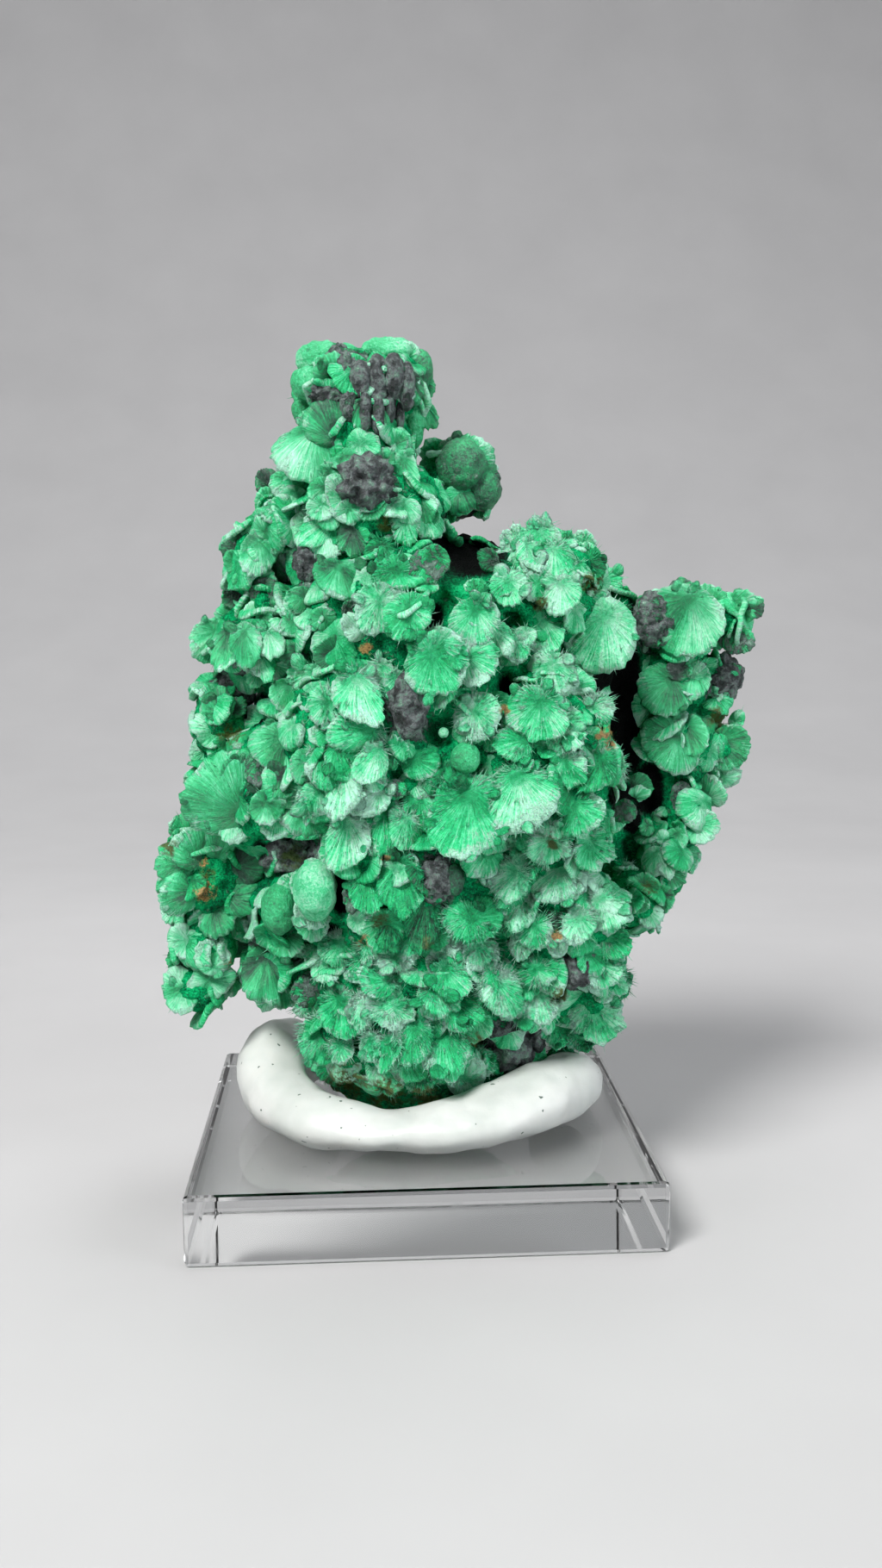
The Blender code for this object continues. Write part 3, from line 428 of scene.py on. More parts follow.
def fibrous_malachite(name, shine, sheen, glow, grit=1.0, veil=0.0):
    made, tree, shader = new_material(name)
    fibre, look, stain_and_shade = [node(tree, 'ShaderNodeAttribute', attribute_name=kind).outputs["Vector"]
                          for kind in ("fibre", "look", "stain_and_shade")]
    tone, crust, reach = split(tree, look)
    brown, olive, _ = split(tree, stain_and_shade)
    place = node(tree, 'ShaderNodeTexCoord').outputs["Object"]

    streaks = noise(tree, stretched(tree, fibre, (4.0, 4.0, 4.0)), 1.0, 4.0, 0.7)
    hairs = noise(tree, stretched(tree, fibre, (11.0, 11.0, 8.0)), 1.0, 2.0, 0.6)
    patches = noise(tree, place, 380.0, 2.0, 0.5)
    clouds = noise(tree, place, 1300.0, 4.0, 0.65)
    grains = noise(tree, place, 5200.0, 2.0, 0.7)
    crumbs = noise(tree, place, 2300.0, 3.0, 0.7)
    value = added(tree, tone, [
        (streaks, 0.25, 0.75, -0.17, 0.17), (hairs, 0.25, 0.75, -0.09, 0.09),
        (patches, 0.30, 0.70, -0.11, 0.11), (clouds, 0.30, 0.70, -0.05 * grit, 0.05 * grit),
        (grains, 0.30, 0.70, -0.03, 0.03), (crumbs, 0.30, 0.70, -0.06 * grit, 0.06 * grit)])
    frayed = added(tree, reach, [(streaks, 0.2, 0.8, -0.10, 0.10), (patches, 0.3, 0.7, -0.22, 0.12),
                                 (clouds, 0.3, 0.7, -0.12, 0.10)])
    rim = spread(tree, frayed, 0.86 - 0.16 * grit, 1.02)
    value = maths(tree, 'ADD', value, maths(tree, 'MULTIPLY', rim, 0.17))
    value = maths(tree, 'ADD', value, maths(tree, 'MULTIPLY', grains, maths(tree, 'MULTIPLY', rim, 0.20)),
                  clamp=True)
    green = mix(tree, veil, ramp(tree, value, GREENS), (0.16, 0.30, 0.25))

    lumps = noise(tree, place, 900.0, 4.0, 0.7)
    grey = ramp(tree, spread(tree, lumps, 0.28, 0.75), CRUST_GREYS)
    crusty = spread(tree, added(tree, crust, [(lumps, 0.3, 0.7, -0.3, 0.3)]), 0.35, 0.65)
    colour = mix(tree, crusty, green, grey)
    blotches = spread(tree, clouds, 0.3, 0.7, 0.2, 1.6)
    # Olive dust, and along the foot's bottom partly painted shade.
    dust_and_shade = spread(tree, maths(tree, 'MULTIPLY', olive, blotches), 0.25, 0.9)
    colour = mix(tree, dust_and_shade, colour, (0.075, 0.120, 0.030))
    rusty = spread(tree, maths(tree, 'MULTIPLY', brown, blotches), 0.3, 0.8)
    rust = ramp(tree, grains, [(0.30, (0.15, 0.10, 0.035)), (0.70, (0.50, 0.33, 0.130))])
    colour = mix(tree, rusty, colour, rust)
    tree.links.new(colour, shader.inputs["Base Color"])

    rough = spread(tree, maths(tree, 'ADD', rim, crusty), 0.0, 1.0, 0.30 + 0.20 * grit, 0.80)
    tree.links.new(rough, shader.inputs["Roughness"])
    for socket, setting in (
            ("Specular IOR Level", shine), ("Subsurface Weight", glow), ("Subsurface Scale", 0.6 * MM),
            ("Subsurface Radius", (0.2, 1.0, 0.4)), ("Sheen Weight", sheen), ("Sheen Roughness", 0.45),
            ("Sheen Tint", (0.55, 1.0, 0.78, 1.0))):
        shader.inputs[socket].default_value = setting
    velvet = maths(tree, 'MULTIPLY', grains, rim)
    rubble = maths(tree, 'MULTIPLY', lumps, crusty)
    normal = bump(tree, [(streaks, 0.20), (clouds, 0.34 * grit), (hairs, 0.08), (crumbs, 0.22 * grit),
                         (grains, 0.04 * grit), (velvet, 0.15), (rubble, 0.50)])
    tree.links.new(normal, shader.inputs["Normal"])
    return made


VELVETY = fibrous_malachite("velvety_malachite", 0.35, 0.04, 0.20, 0.75)
GLASSY = fibrous_malachite("glassy_malachite", 0.50, 0.04, 0.15, 0.45, 0.12)
# The core's finish: dull, for the dark matrix between the fans, whose hollows are painted black as painted
# shade.
MATRIX_AND_SHADE = fibrous_malachite("matrix_and_shade_malachite", 0.05, 0.0, 0.0)
print("materials", VELVETY.name, GLASSY.name, MATRIX_AND_SHADE.name, "with", len(VELVETY.node_tree.nodes), "nodes each")

# %% [markdown]
# ## Iron and olive stains, and painted shade at the foot
#
# Small rusty and olive spots sit where the stone's iron-rich base shows between the fans. Where the foot
# meets the putty the olive spots are partly an olive strip and partly painted shade. They are round
# spots of a given radius, named by the same x and z as the fans.

# %% Stains and painted shade at the foot
BROWN_SPOTS = [
    (-19.6, 30.2, 0.6), (-19.6, 27.3, 1.1), (-4.3, 49.6, 0.7), (17.6, 41.5, 0.9), (18.2, 40.5, 0.6),
    (8.4, 43.9, 0.6), (-5, 22.3, 0.7), (-17.6, 20.6, 0.5), (13.2, 22.5, 0.6), (-2.8, 30.2, 0.5),
]
OLIVE_AND_SHADE_SPOTS = [
    (-16.8, 42, 1.3), (-22.8, 31.5, 0.9), (-2.3, 60.8, 0.9), (16.5, 55.4, 1.2), (-3.4, 24.2, 1),
    (28.4, 42.8, 1.2), (13.3, 16.7, 1), (22, 27, 0.9), (-19.3, 29, 0.8), (-11.4, 30.6, 1.3),
    # The spots at (-6.8, 8.8), (-3, 7.6) and (0.6, 7.2) lie along the foot's bottom: partly olive, partly
    # painted shade.
    (5.4, 12.6, 0.9), (-6.8, 8.8, 2.2), (-3, 7.6, 2), (0.6, 7.2, 1.6), (0.9, 22, 0.7), (11.6, 53.6, 0.9),
    (12.8, 31.4, 1),
]


def seen_plane(spots):
    """x and z at which the sight lines through these points cross the plane y = 0, in millimetres."""
    eye = np.array(VIEW_POINT)
    ways = spots / MM - eye
    crossing = eye + ways * (-eye[1] / ways[:, 1])[:, None]
    return crossing[:, 0], crossing[:, 2]


def in_hollow(x, z):
    """How far into a black hollow a seen x and z lie: one in its middle, none outside it."""
    depth = np.zeros_like(x)
    for middle_x, middle_z, half_x, half_z in HOLLOWS:
        away = ((x - middle_x) / half_x) ** 2 + ((z - middle_z) / half_z) ** 2
        depth = np.maximum(depth, np.clip(1.6 - away, 0.0, 1.0))
    return depth


def stain_and_shade_rows(spots):
    x, z = seen_plane(spots)
    near = spots[:, 1] < 8.0 * MM
    rows = np.zeros((len(spots), 3))
    for column, places in ((0, BROWN_SPOTS), (1, OLIVE_AND_SHADE_SPOTS)):
        for spot_x, spot_z, radius in places:
            away = ((x - spot_x) ** 2 + (z - spot_z) ** 2) / radius ** 2
            rows[:, column] = np.maximum(rows[:, column], np.exp(-away) * near)
    return rows


print(len(BROWN_SPOTS), "brown spots,", len(OLIVE_AND_SHADE_SPOTS), "olive spots")


# %% [markdown]
# ## The core of the cluster
#
# Between the fans one looks into dark, crusty hollows. A ball for each lobe, scaled to its size, and a
# voxel remesh joins them into one skin. The pits are then pushed in along their sight lines, as one
# would with a sculpting brush, and two displacements with procedural textures give it lumps and grit.

# %% Core
CORE_VOXEL = 0.42


def texture(name, kind, size):
    made = bpy.data.textures.new(name, kind)
    made.noise_scale = size * MM
    return made


def displace(item, pattern, strength, middle=0.5):
    made = item.modifiers.new("relief", 'DISPLACE')
    made.texture = pattern
    made.texture_coords = 'LOCAL'
    made.strength = strength * MM
    made.mid_level = middle


def lobe_balls():
    balls = []
    for x, y, z, half_x, half_y, half_z in LOBES:
        bpy.ops.mesh.primitive_uv_sphere_add(segments=32, ring_count=16, radius=MM,
                                             location=(x * MM, y * MM, z * MM),
                                             scale=(half_x, half_y, half_z))
        balls.append(bpy.context.object)
    return balls


def pushed_in(spots):
    """The places after the pits are pressed in; a pit works on the skin near its own middle alone."""
    moved = spots / MM
    for x, z, radius, depth in PITS:
        way, _, _ = sight_frame(x, z)
        middle = np.array(first_surface(VIEW_POINT, way))
        way = np.array(way)
        off = spots / MM - middle
        deep = off @ way
        aside = np.linalg.norm(off - np.outer(deep, way), axis=1) / radius
        near = (deep < 4.0) & (np.linalg.norm(off, axis=1) < 3.0 * radius + 4.0)
        moved += np.outer(depth * np.exp(-aside ** 4) * near, way)
    return moved * MM


deselect()
core = join(lobe_balls(), "malachite_core")
settle(core)
skin = core.modifiers.new("skin", 'REMESH')
skin.mode = 'VOXEL'
skin.voxel_size = CORE_VOXEL * MM
apply_modifiers(core)
put_vertices(core.data, pushed_in(vertex_array(core.data)))
displace(core, texture("core_lumps", 'VORONOI', 1.6), 0.9, 0.35)
displace(core, texture("core_grit", 'CLOUDS', 0.5), 0.5)
apply_modifiers(core)
report(core)

# %% [markdown]
# ## The hole through the shoulder
#
# One small gap lets the daylight through the left shoulder. A cylinder along the sight line through its
# middle is the cutter of a Boolean difference. The cutter is removed once the cut is applied.

# %% Shoulder hole
hole_way, _, _ = sight_frame(HOLE_X, HOLE_Z)
bpy.ops.mesh.primitive_cylinder_add(vertices=24, radius=HOLE_RADIUS * MM, depth=30.0 * MM)
drill = bpy.context.object
drill.location = first_surface(VIEW_POINT, hole_way) * MM
drill.rotation_mode = 'QUATERNION'
drill.rotation_quaternion = hole_way.to_track_quat('Z', 'Y')
cut = core.modifiers.new("hole", 'BOOLEAN')
cut.operation = 'DIFFERENCE'
cut.solver = 'EXACT'
cut.object = drill
apply_modifiers(core)
bpy.data.objects.remove(drill, do_unlink=True)
report(core)

# %% [markdown]
# ## The look of the gaps
#
# The core takes the fibrous finish too, with a dark tone and a lot of crust, so that the gaps between
# the fans read as dark and rough. Inside the hollows its tone is painted down to black, as painted
# shade, so that they read as deep.

# %% Core's look


def dress(item, tone, crust, reach, finish=GLASSY):
    """Give a piece the three attributes that the fibrous finish reads."""
    spots = vertex_array(item.data)
    count = len(spots)
    write_attribute(item.data, "fibre", spots / MM)
    write_attribute(item.data, "look", np.column_stack([np.broadcast_to(row, count)
                                                        for row in (tone, crust, reach)]))
    write_attribute(item.data, "stain_and_shade", stain_and_shade_rows(spots))
    item.data.materials.clear()
    item.data.materials.append(finish)
    pick(item)
    bpy.ops.object.shade_smooth()


def core_look():
    """Dark green between the fans, painted black in the hollows as painted shade, grey crust round the knobs.
    """
    spots = vertex_array(core.data)
    x, z = seen_plane(spots)
    front = spots[:, 1] < 9.0 * MM
    depth = in_hollow(x, z) * front
    crust = np.full(len(spots), 0.20)
    for knob_x, knob_z, half_wide, half_high, *_ in KNOBS:
        away = ((x - knob_x) / (half_wide + 0.8)) ** 2 + ((z - knob_z) / (half_high + 0.8)) ** 2
        crust = np.maximum(crust, 0.9 * np.exp(-away ** 2) * front)
    # Painted shade: inside the hollows the tone falls to black.
    return 0.40 - 0.74 * depth, crust * (1.0 - depth)


dress(core, *core_look(), 0.2, MATRIX_AND_SHADE)

# %% [markdown]
# ## One fan, modelled once
#
# A fan of malachite is a sheaf of fibres that spread from one point, and its outline is a rounded petal.
# Its master is a grid. Across it runs the way round the petal, from -1 to 1, and along it runs a way over
# the petal: from the point where the fibres start, up the front, round the rim and back down behind.
# `fan_points` bends that grid into the shape. The two ends of the grid meet, and so do the points at the
# fibres' start, so merging doubles closes it. Every copy then gets its own size, pleats and rim.

# %% Fan shape
RIM_SHARE = 0.30


def petal_outline(spread_degrees, wander):
    """Half length, half width and how far back the fibres start, for a petal of radius one."""
    width = min(max(0.50 + spread_degrees / 220.0, 0.78), 1.25)
    back = 0.80 if spread_degrees < 85.0 else 0.62 if spread_degrees < 175.0 else 0.32
    return 1.0 / math.sqrt(width), math.sqrt(width), max(back - wander, 0.0)


def uneven_knots(draw, pairs):
    """Angles round a fan in uneven steps, with heights that go up and down in turn."""
    steps = [draw.uniform(0.4, 1.6) for _ in range(2 * pairs)]
    angles = np.cumsum(steps) * (2.0 * math.pi / sum(steps)) + draw.uniform(0.0, 2.0 * math.pi)
    heights = [draw.uniform(0.6, 1.0) if i % 2 else draw.uniform(0.0, 0.45) for i in range(2 * pairs)]
    return angles, np.array(heights)


def folds_at(angle, knots):
    """Height of the folds at an angle: crests a little rounded, valleys sharp."""
    height = np.interp(angle, knots[0], knots[1], period=2.0 * np.pi)
    return 0.6 * height + 0.4 * np.sin(np.pi / 2.0 * height)


def fan_points(side, way, fan, style):
    """A petal's grid as places along, across and off its face, with reach, swell and fibre angle."""
    radius, spread_degrees, thick = fan
    half_long, half_wide, back = petal_outline(spread_degrees, style["wander"])
    round_it = math.pi * side
    lobe = folds_at(round_it, style["folds"])
    crease = folds_at(round_it, style["creases"])
    ragged = -style["notch"] * (1.0 - lobe) - 0.30 * style["notch"] * (1.0 - crease)
    for waves, size, phase in style["rim"]:
        ragged = ragged + size * np.sin(waves * round_it + phase)
    ragged = 1.0 + ragged * (0.65 + 0.35 * np.cos(round_it))
    rim_along = radius * half_long * (back + ragged * np.cos(round_it))
    rim_along = rim_along * (1.0 + style["point"] * np.maximum(np.cos(round_it), 0.0) ** 8)
    rim_across = radius * half_wide * ragged * np.sin(round_it)
    rim_across = rim_across + style["hook"] * rim_along * np.abs(rim_along) / radius
    theta = np.arctan2(rim_across, rim_along)
    turn = np.clip(np.abs(way) / RIM_SHARE, 0.0, 1.0) * np.pi / 2.0
    edge = min(0.40 * thick / radius, 0.25)
    flat = (1.0 - edge) * (1.0 - np.abs(way)) / (1.0 - RIM_SHARE)
    on_rim = np.abs(way) < RIM_SHARE
    reach = np.where(on_rim, 1.0 - edge * (1.0 - np.cos(turn)), flat)
    height = np.where(on_rim, np.sin(turn), style["slim"] + (1.0 - style["slim"]) * flat / (1.0 - edge))
    pleats = style["fold"] * (lobe - 0.65) + style["crease"] * (crease - 0.65)
    for waves, size, phase in style["pleats"]:
        pleats = pleats + size * np.sin(waves * theta + phase)
    along, across = reach * rim_along, reach * rim_across
    off_middle = ((along / radius - half_long * back) ** 2 + (across / radius) ** 2)
    bow = radius * (style["cup"] * off_middle - style["bow"] * (across / radius) ** 2
                    + style["twist"] * across / radius * reach + style["curl"] * reach ** 5)
    relief = pleats * radius * reach ** 1.4
    for waves_along, waves_across, size, phase in style["dents"]:
        ripple = (waves_along * along + waves_across * across) / radius + phase
        relief = relief + size * radius * np.sin(ripple)
    off = np.sign(way) * height * thick / 2.0 + bow + relief
    return along, across, off, reach, pleats, theta


LEVEL = (np.array([0.0, 3.0]), np.array([1.0, 1.0]))
PLAIN = {
    "wander": 0.0, "slim": 0.3, "rim": [], "pleats": [], "dents": [], "bow": 0.1, "cup": 0.0, "twist": 0.0,
    "curl": 0.0, "point": 0.0, "hook": 0.0, "folds": LEVEL, "creases": LEVEL, "notch": 0.0, "fold": 0.0,
    "crease": 0.0,
}


def master_fan(name, around, over):
    """A closed fan of the given fineness; its side and way are kept for every copy."""
    bpy.ops.mesh.primitive_grid_add(x_subdivisions=around, y_subdivisions=over, size=2.0)
    made = bpy.context.object
    made.name = name
    flat = vertex_array(made.data)
    side, way = flat[:, 0].copy(), flat[:, 1].copy()
    write_attribute(made.data, "grid", np.column_stack([side, way, 0.0 * side]))
    put_vertices(made.data, np.column_stack(fan_points(side, way, (4.0, 110.0, 1.5), PLAIN)[:3]))
    pick(made)
    bpy.ops.object.mode_set(mode='EDIT')
    bpy.ops.mesh.select_all(action='SELECT')
    bpy.ops.mesh.remove_doubles(threshold=0.001)
    bpy.ops.mesh.normals_make_consistent(inside=False)
    bpy.ops.mesh.quads_convert_to_tris()
    bpy.ops.object.mode_set(mode='OBJECT')
    report(made)
    return made


def master_data(made):
    grid = np.empty(len(made.data.vertices) * 3)
    made.data.attributes["grid"].data.foreach_get("vector", grid)
    faces = np.empty(len(made.data.polygons) * 3, dtype=np.int64)
    made.data.polygons.foreach_get("vertices", faces)
    grid = grid.reshape(-1, 3)
    bpy.data.objects.remove(made, do_unlink=True)
    return grid[:, 0], grid[:, 1], faces.reshape(-1, 3)


deselect()
FINE_FAN = master_data(master_fan("fine_fan", 48, 12))
SMALL_FAN = master_data(master_fan("small_fan", 26, 8))
FLAKE = master_data(master_fan("flake", 14, 4))

# %% [markdown]
# ## Fans in their places
#
# A front fan is laid out: the x and z of its middle, its radius, the way it opens in degrees (0 is
# right, 90 is up), its spread, how far its rim leans out, how far it is lifted off the lobe, and a letter
# for its tone, from `w` for nearly white to `k` for nearly black; `g` is half covered with grey crust.
# `front_fan` turns that into a middle and two directions. In a few places the fans are painted darker, as
# painted shade.

# %% Places and tones
LEAN_SHARE = 0.6
LIFT_SHARE = 0.75
TIP_DEGREES = 9.0
TONES = {
    "w": (0.95, 0.0), "p": (0.80, 0.0), "m": (0.68, 0.0), "v": (0.57, 0.0), "d": (0.43, 0.0),
    "t": (0.28, 0.0), "k": (0.18, 0.35), "g": (0.48, 0.50),
}
# x, z, how far the painted shade reaches, how much darker
SHADY_PLACES = [(-0.6, 26.5, 4.5, 0.20), (-17.9, 36.7, 5.0, 0.12), (-18.6, 28.7, 5.5, 0.10)]


def front_fan(entry):
    x, z, radius, toward, spread_degrees, lean, lift, tone, *shaped = entry
    way, across, upward = sight_frame(x, z)
    flat = across * math.cos(math.radians(toward)) + upward * math.sin(math.radians(toward))
    tilt = math.radians(lean * LEAN_SHARE)
    along = flat * math.cos(tilt) - way * math.sin(tilt)
    normal = -way * math.cos(tilt) - flat * math.sin(tilt)
    middle = first_surface(VIEW_POINT, way) - way * (lift * LIFT_SHARE)
    return middle, along, normal, radius, spread_degrees, tone, *shaped


def tipped(draw, along, normal):
    """A fan's two directions after a small random tip, so that no two faces lie alike."""
    across = normal.cross(along)
    turn = (Matrix.Rotation(math.radians(draw.gauss(0.0, TIP_DEGREES)), 3, along)
            @ Matrix.Rotation(math.radians(draw.gauss(0.0, TIP_DEGREES)), 3, across))
    return turn @ along, turn @ normal


# Painted shade: how much darker the fans are painted in the shady places.
def shaded(middle):
    return sum(depth * max(0.0, 1.0 - math.hypot(middle.x - x, middle.z - z) / reach)
               for x, z, reach, depth in SHADY_PLACES)


print(len(TONES), "tones,", len(SHADY_PLACES), "shady places")

# %% [markdown]
# ## How each fan is folded
#
# A real fan is never flat. Some are smooth and velvety, most are creased in a few deep folds, and some
# are scalloped like a shell. `fan_style` draws one of these kinds, then the notches, ripples and dents of
# its rim and face. Where the specimen has a smooth or a pointed fan, its row names a style instead.

# %% Fan styles
ANY_PHASE = (0.0, 6.3)
# Pairs of folds, how deep the folds are, how deep the notches, hairs for a millimetre of radius
KINDS = {
    "velvet": ((2, 4), (0.04, 0.12), (0.10, 0.26), 60),
    "creased": ((2, 4), (0.14, 0.34), (0.18, 0.44), 30),
    "scalloped": ((4, 7), (0.08, 0.20), (0.12, 0.30), 30),
}
CALM = {"notch": 0.08, "fold": 0.04, "hook": 0.0, "curl": -0.12, "twist": 0.0, "point": 0.0, "cup": -0.10}
BROAD = {"fold": 0.14, "notch": 0.10, "point": 0.0, "hook": 0.0}
SMOOTH = {"point": 0.0, "notch": 0.10, "fold": 0.05}
POINTED = {"point": 0.08, "hook": 0.0, "notch": 0.20}


def wave(draw, counts, heights):
    """How many waves go round, how high they are and where they start."""
    return draw.randint(*counts), draw.uniform(*heights), draw.uniform(*ANY_PHASE)


def fan_style(draw):
    kind = draw.choice(("velvet", "velvet", "creased", "creased", "creased", "scalloped"))
    folds, deep, notch, _ = KINDS[kind]
    return {
        "kind": kind, "slim": draw.uniform(0.5, 0.8), "wander": draw.uniform(-0.08, 0.35),
        "folds": uneven_knots(draw, draw.randint(*folds)), "creases": uneven_knots(draw, draw.randint(8, 13)),
        "notch": draw.uniform(*notch), "fold": draw.uniform(*deep), "crease": draw.uniform(0.01, 0.05),
        "rim": [(2, draw.uniform(0.02, 0.10), draw.uniform(*ANY_PHASE)),
                wave(draw, (11, 15), (0.020, 0.050)), wave(draw, (18, 23), (0.015, 0.045))],
        "pleats": [wave(draw, (2, 3), (0.03, 0.12))],
        "dents": [(draw.uniform(-5.0, 5.0), draw.uniform(1.0, 5.0), draw.uniform(0.015, 0.06),
                   draw.uniform(*ANY_PHASE)) for _ in range(4)],
        "bow": draw.uniform(-0.12, 0.20), "cup": draw.uniform(-0.14, 0.14),
        "twist": draw.uniform(-0.25, 0.25), "curl": draw.uniform(-0.14, 0.10),
        "point": draw.choice((0.0, 0.0, 0.0, 0.12)), "hook": draw.uniform(-0.12, 0.12),
    }


print("kinds of fan:", ", ".join(KINDS))

# %% [markdown]
# ## Hairs and flakes
#
# Two small things keep a fan from looking like a clean petal. Hairs are the free tips of its fibres, thin
# spikes of three sides that stand a little proud. Flakes are ragged little fans that grow on its face.
# `on_face` says where on the bent face a hair or a flake has its foot.

# %% Hairs and flakes
HAIR_LONG, HAIR_WIDE, HAIR_SUNK = (0.40, 1.10), (0.030, 0.075), 0.10
FLAKE_SIZE = (0.35, 0.85)


def on_face(along, across, off, reach, theta):
    """A rule that gives places on a fan's front, at an angle round it and a share of the way out."""
    front = (off > np.median(off)) & (reach > 0.3)
    at_angle, at_reach = theta[front], reach[front]
    places = np.column_stack([along[front], across[front], off[front]])

    def rule(angle, share):
        gap = (np.cos(at_angle)[None] - np.cos(angle)[:, None]) ** 2
        gap += (np.sin(at_angle)[None] - np.sin(angle)[:, None]) ** 2
        return places[np.argmin(gap + 0.6 * (at_reach[None] - share[:, None]) ** 2, axis=1)]
    return rule


def many(count, rule, *limits):
    return np.array([rule(*limits) for _ in range(count)])


def rim_hairs(draw, count, along, normal, start, rim):
    """The tips of a fan's fibres, spikes with four corners each, and their faces."""
    theta = many(count, draw.uniform, -math.pi, math.pi)
    depth = many(count, draw.uniform, 0.15, 1.0) ** 0.5
    lean = many(count, draw.uniform, 0.05, 0.50)
    sway = many(count, draw.gauss, 0.0, 0.20)
    long = many(count, draw.uniform, *HAIR_LONG)
    wide = many(count, draw.uniform, *HAIR_WIDE)
    out = np.column_stack([np.cos(theta + sway) * np.cos(lean), np.sin(theta + sway) * np.cos(lean),
                           np.sin(lean)])
    side = np.column_stack([-np.sin(theta), np.cos(theta), np.zeros(count)])
    raised = np.cross(out, side)
    foot = rim(theta, depth) - out * HAIR_SUNK
    corners = [foot + out * long[:, None]]
    for turn in (0.0, 2.0 * math.pi / 3.0, 4.0 * math.pi / 3.0):
        corners.append(foot + (side * math.cos(turn) + raised * math.sin(turn)) * wide[:, None])
    spots = np.stack(corners, axis=1).reshape(-1, 3)
    base = np.arange(count)[:, None] * 4
    sides = np.array([[0, 1, 2], [0, 2, 3], [0, 3, 1], [1, 3, 2]])
    faces = (base[:, :, None] + sides[None]).reshape(-1, 3)
    return np.array(start) + spots @ np.array([along, normal.cross(along), normal]), faces


def flakes(draw, count, at, turned, start, rim):
    """Small fans on a large one's face, each with its places, its fibres and how near its rim is."""
    side, way, _ = FLAKE
    aside = turned.cross(at)
    axes = np.array([at, aside, turned])
    rows = []
    for number in range(count):
        angle, share = draw.uniform(-math.pi, math.pi), draw.uniform(0.45, 1.0) ** 0.5
        foot = Vector(rim(np.array([angle]), np.array([share]))[0] @ axes) + start
        swing, lean = angle + draw.gauss(0.0, 0.5), draw.uniform(0.05, 0.60)
        flat = at * math.cos(swing) + aside * math.sin(swing)
        along = flat * math.cos(lean) + turned * math.sin(lean)
        normal = turned * math.cos(lean) - flat * math.sin(lean)
        size = draw.uniform(*FLAKE_SIZE)
        a, b, c, reach, _, theta = fan_points(side, way, (size, draw.uniform(50.0, 160.0), 0.35 * size),
                                              fan_style(draw))
        own = np.array([along, normal.cross(along), normal])
        fibres = np.column_stack([3.0 * np.cos(theta), 3.0 * np.sin(theta), 0.2 * reach + number])
        root = np.array(foot - along * 0.3 * size)
        rows.append((root + np.column_stack([a, b, c]) @ own, fibres, reach))
    return rows


print("hairs", *HAIR_LONG, "mm long, flakes", *FLAKE_SIZE, "mm in radius")

# %% [markdown]
# ## Many fans in one mesh
#
# `scatter` copies a master fan to every place in a list, each with its own style, and makes one mesh of
# them all. For every vertex it also works out the three attributes of the fibrous finish: crests are
# painted paler than the valleys between them, as painted light and shade on the folds, the root is
# darker than the rim, fans in the shady places are painted darker as painted shade, and hairs are paler
# still. The glassy fans have more contrast and are a little darker; the velvety ones are a little paler.

# %% Scatter
# Per finish: how much paler the crests are painted than the valleys (painted light and shade on the folds),
# how much darker the root is, how much paler the whole fan is.
GLASSY_LOOK = (0.13, 0.28, -0.07)
VELVETY_LOOK = (0.08, 0.14, 0.03)


def mesh_of(name, spots, fibres, looks, faces, finish):
    """An object from lists of arrays: places in millimetres, attributes and faces."""
    mesh = bpy.data.meshes.new(name)
    spots = np.concatenate(spots) * MM
    mesh.from_pydata(spots.tolist(), [], np.concatenate(faces).tolist())
    write_attribute(mesh, "fibre", np.concatenate(fibres))
    write_attribute(mesh, "look", np.concatenate(looks))
    write_attribute(mesh, "stain_and_shade", stain_and_shade_rows(spots))
    mesh.materials.append(finish)
    made = bpy.data.objects.new(name, mesh)
    bpy.context.scene.collection.objects.link(made)
    pick(made)
    bpy.ops.object.shade_smooth()
    report(made)
    return made


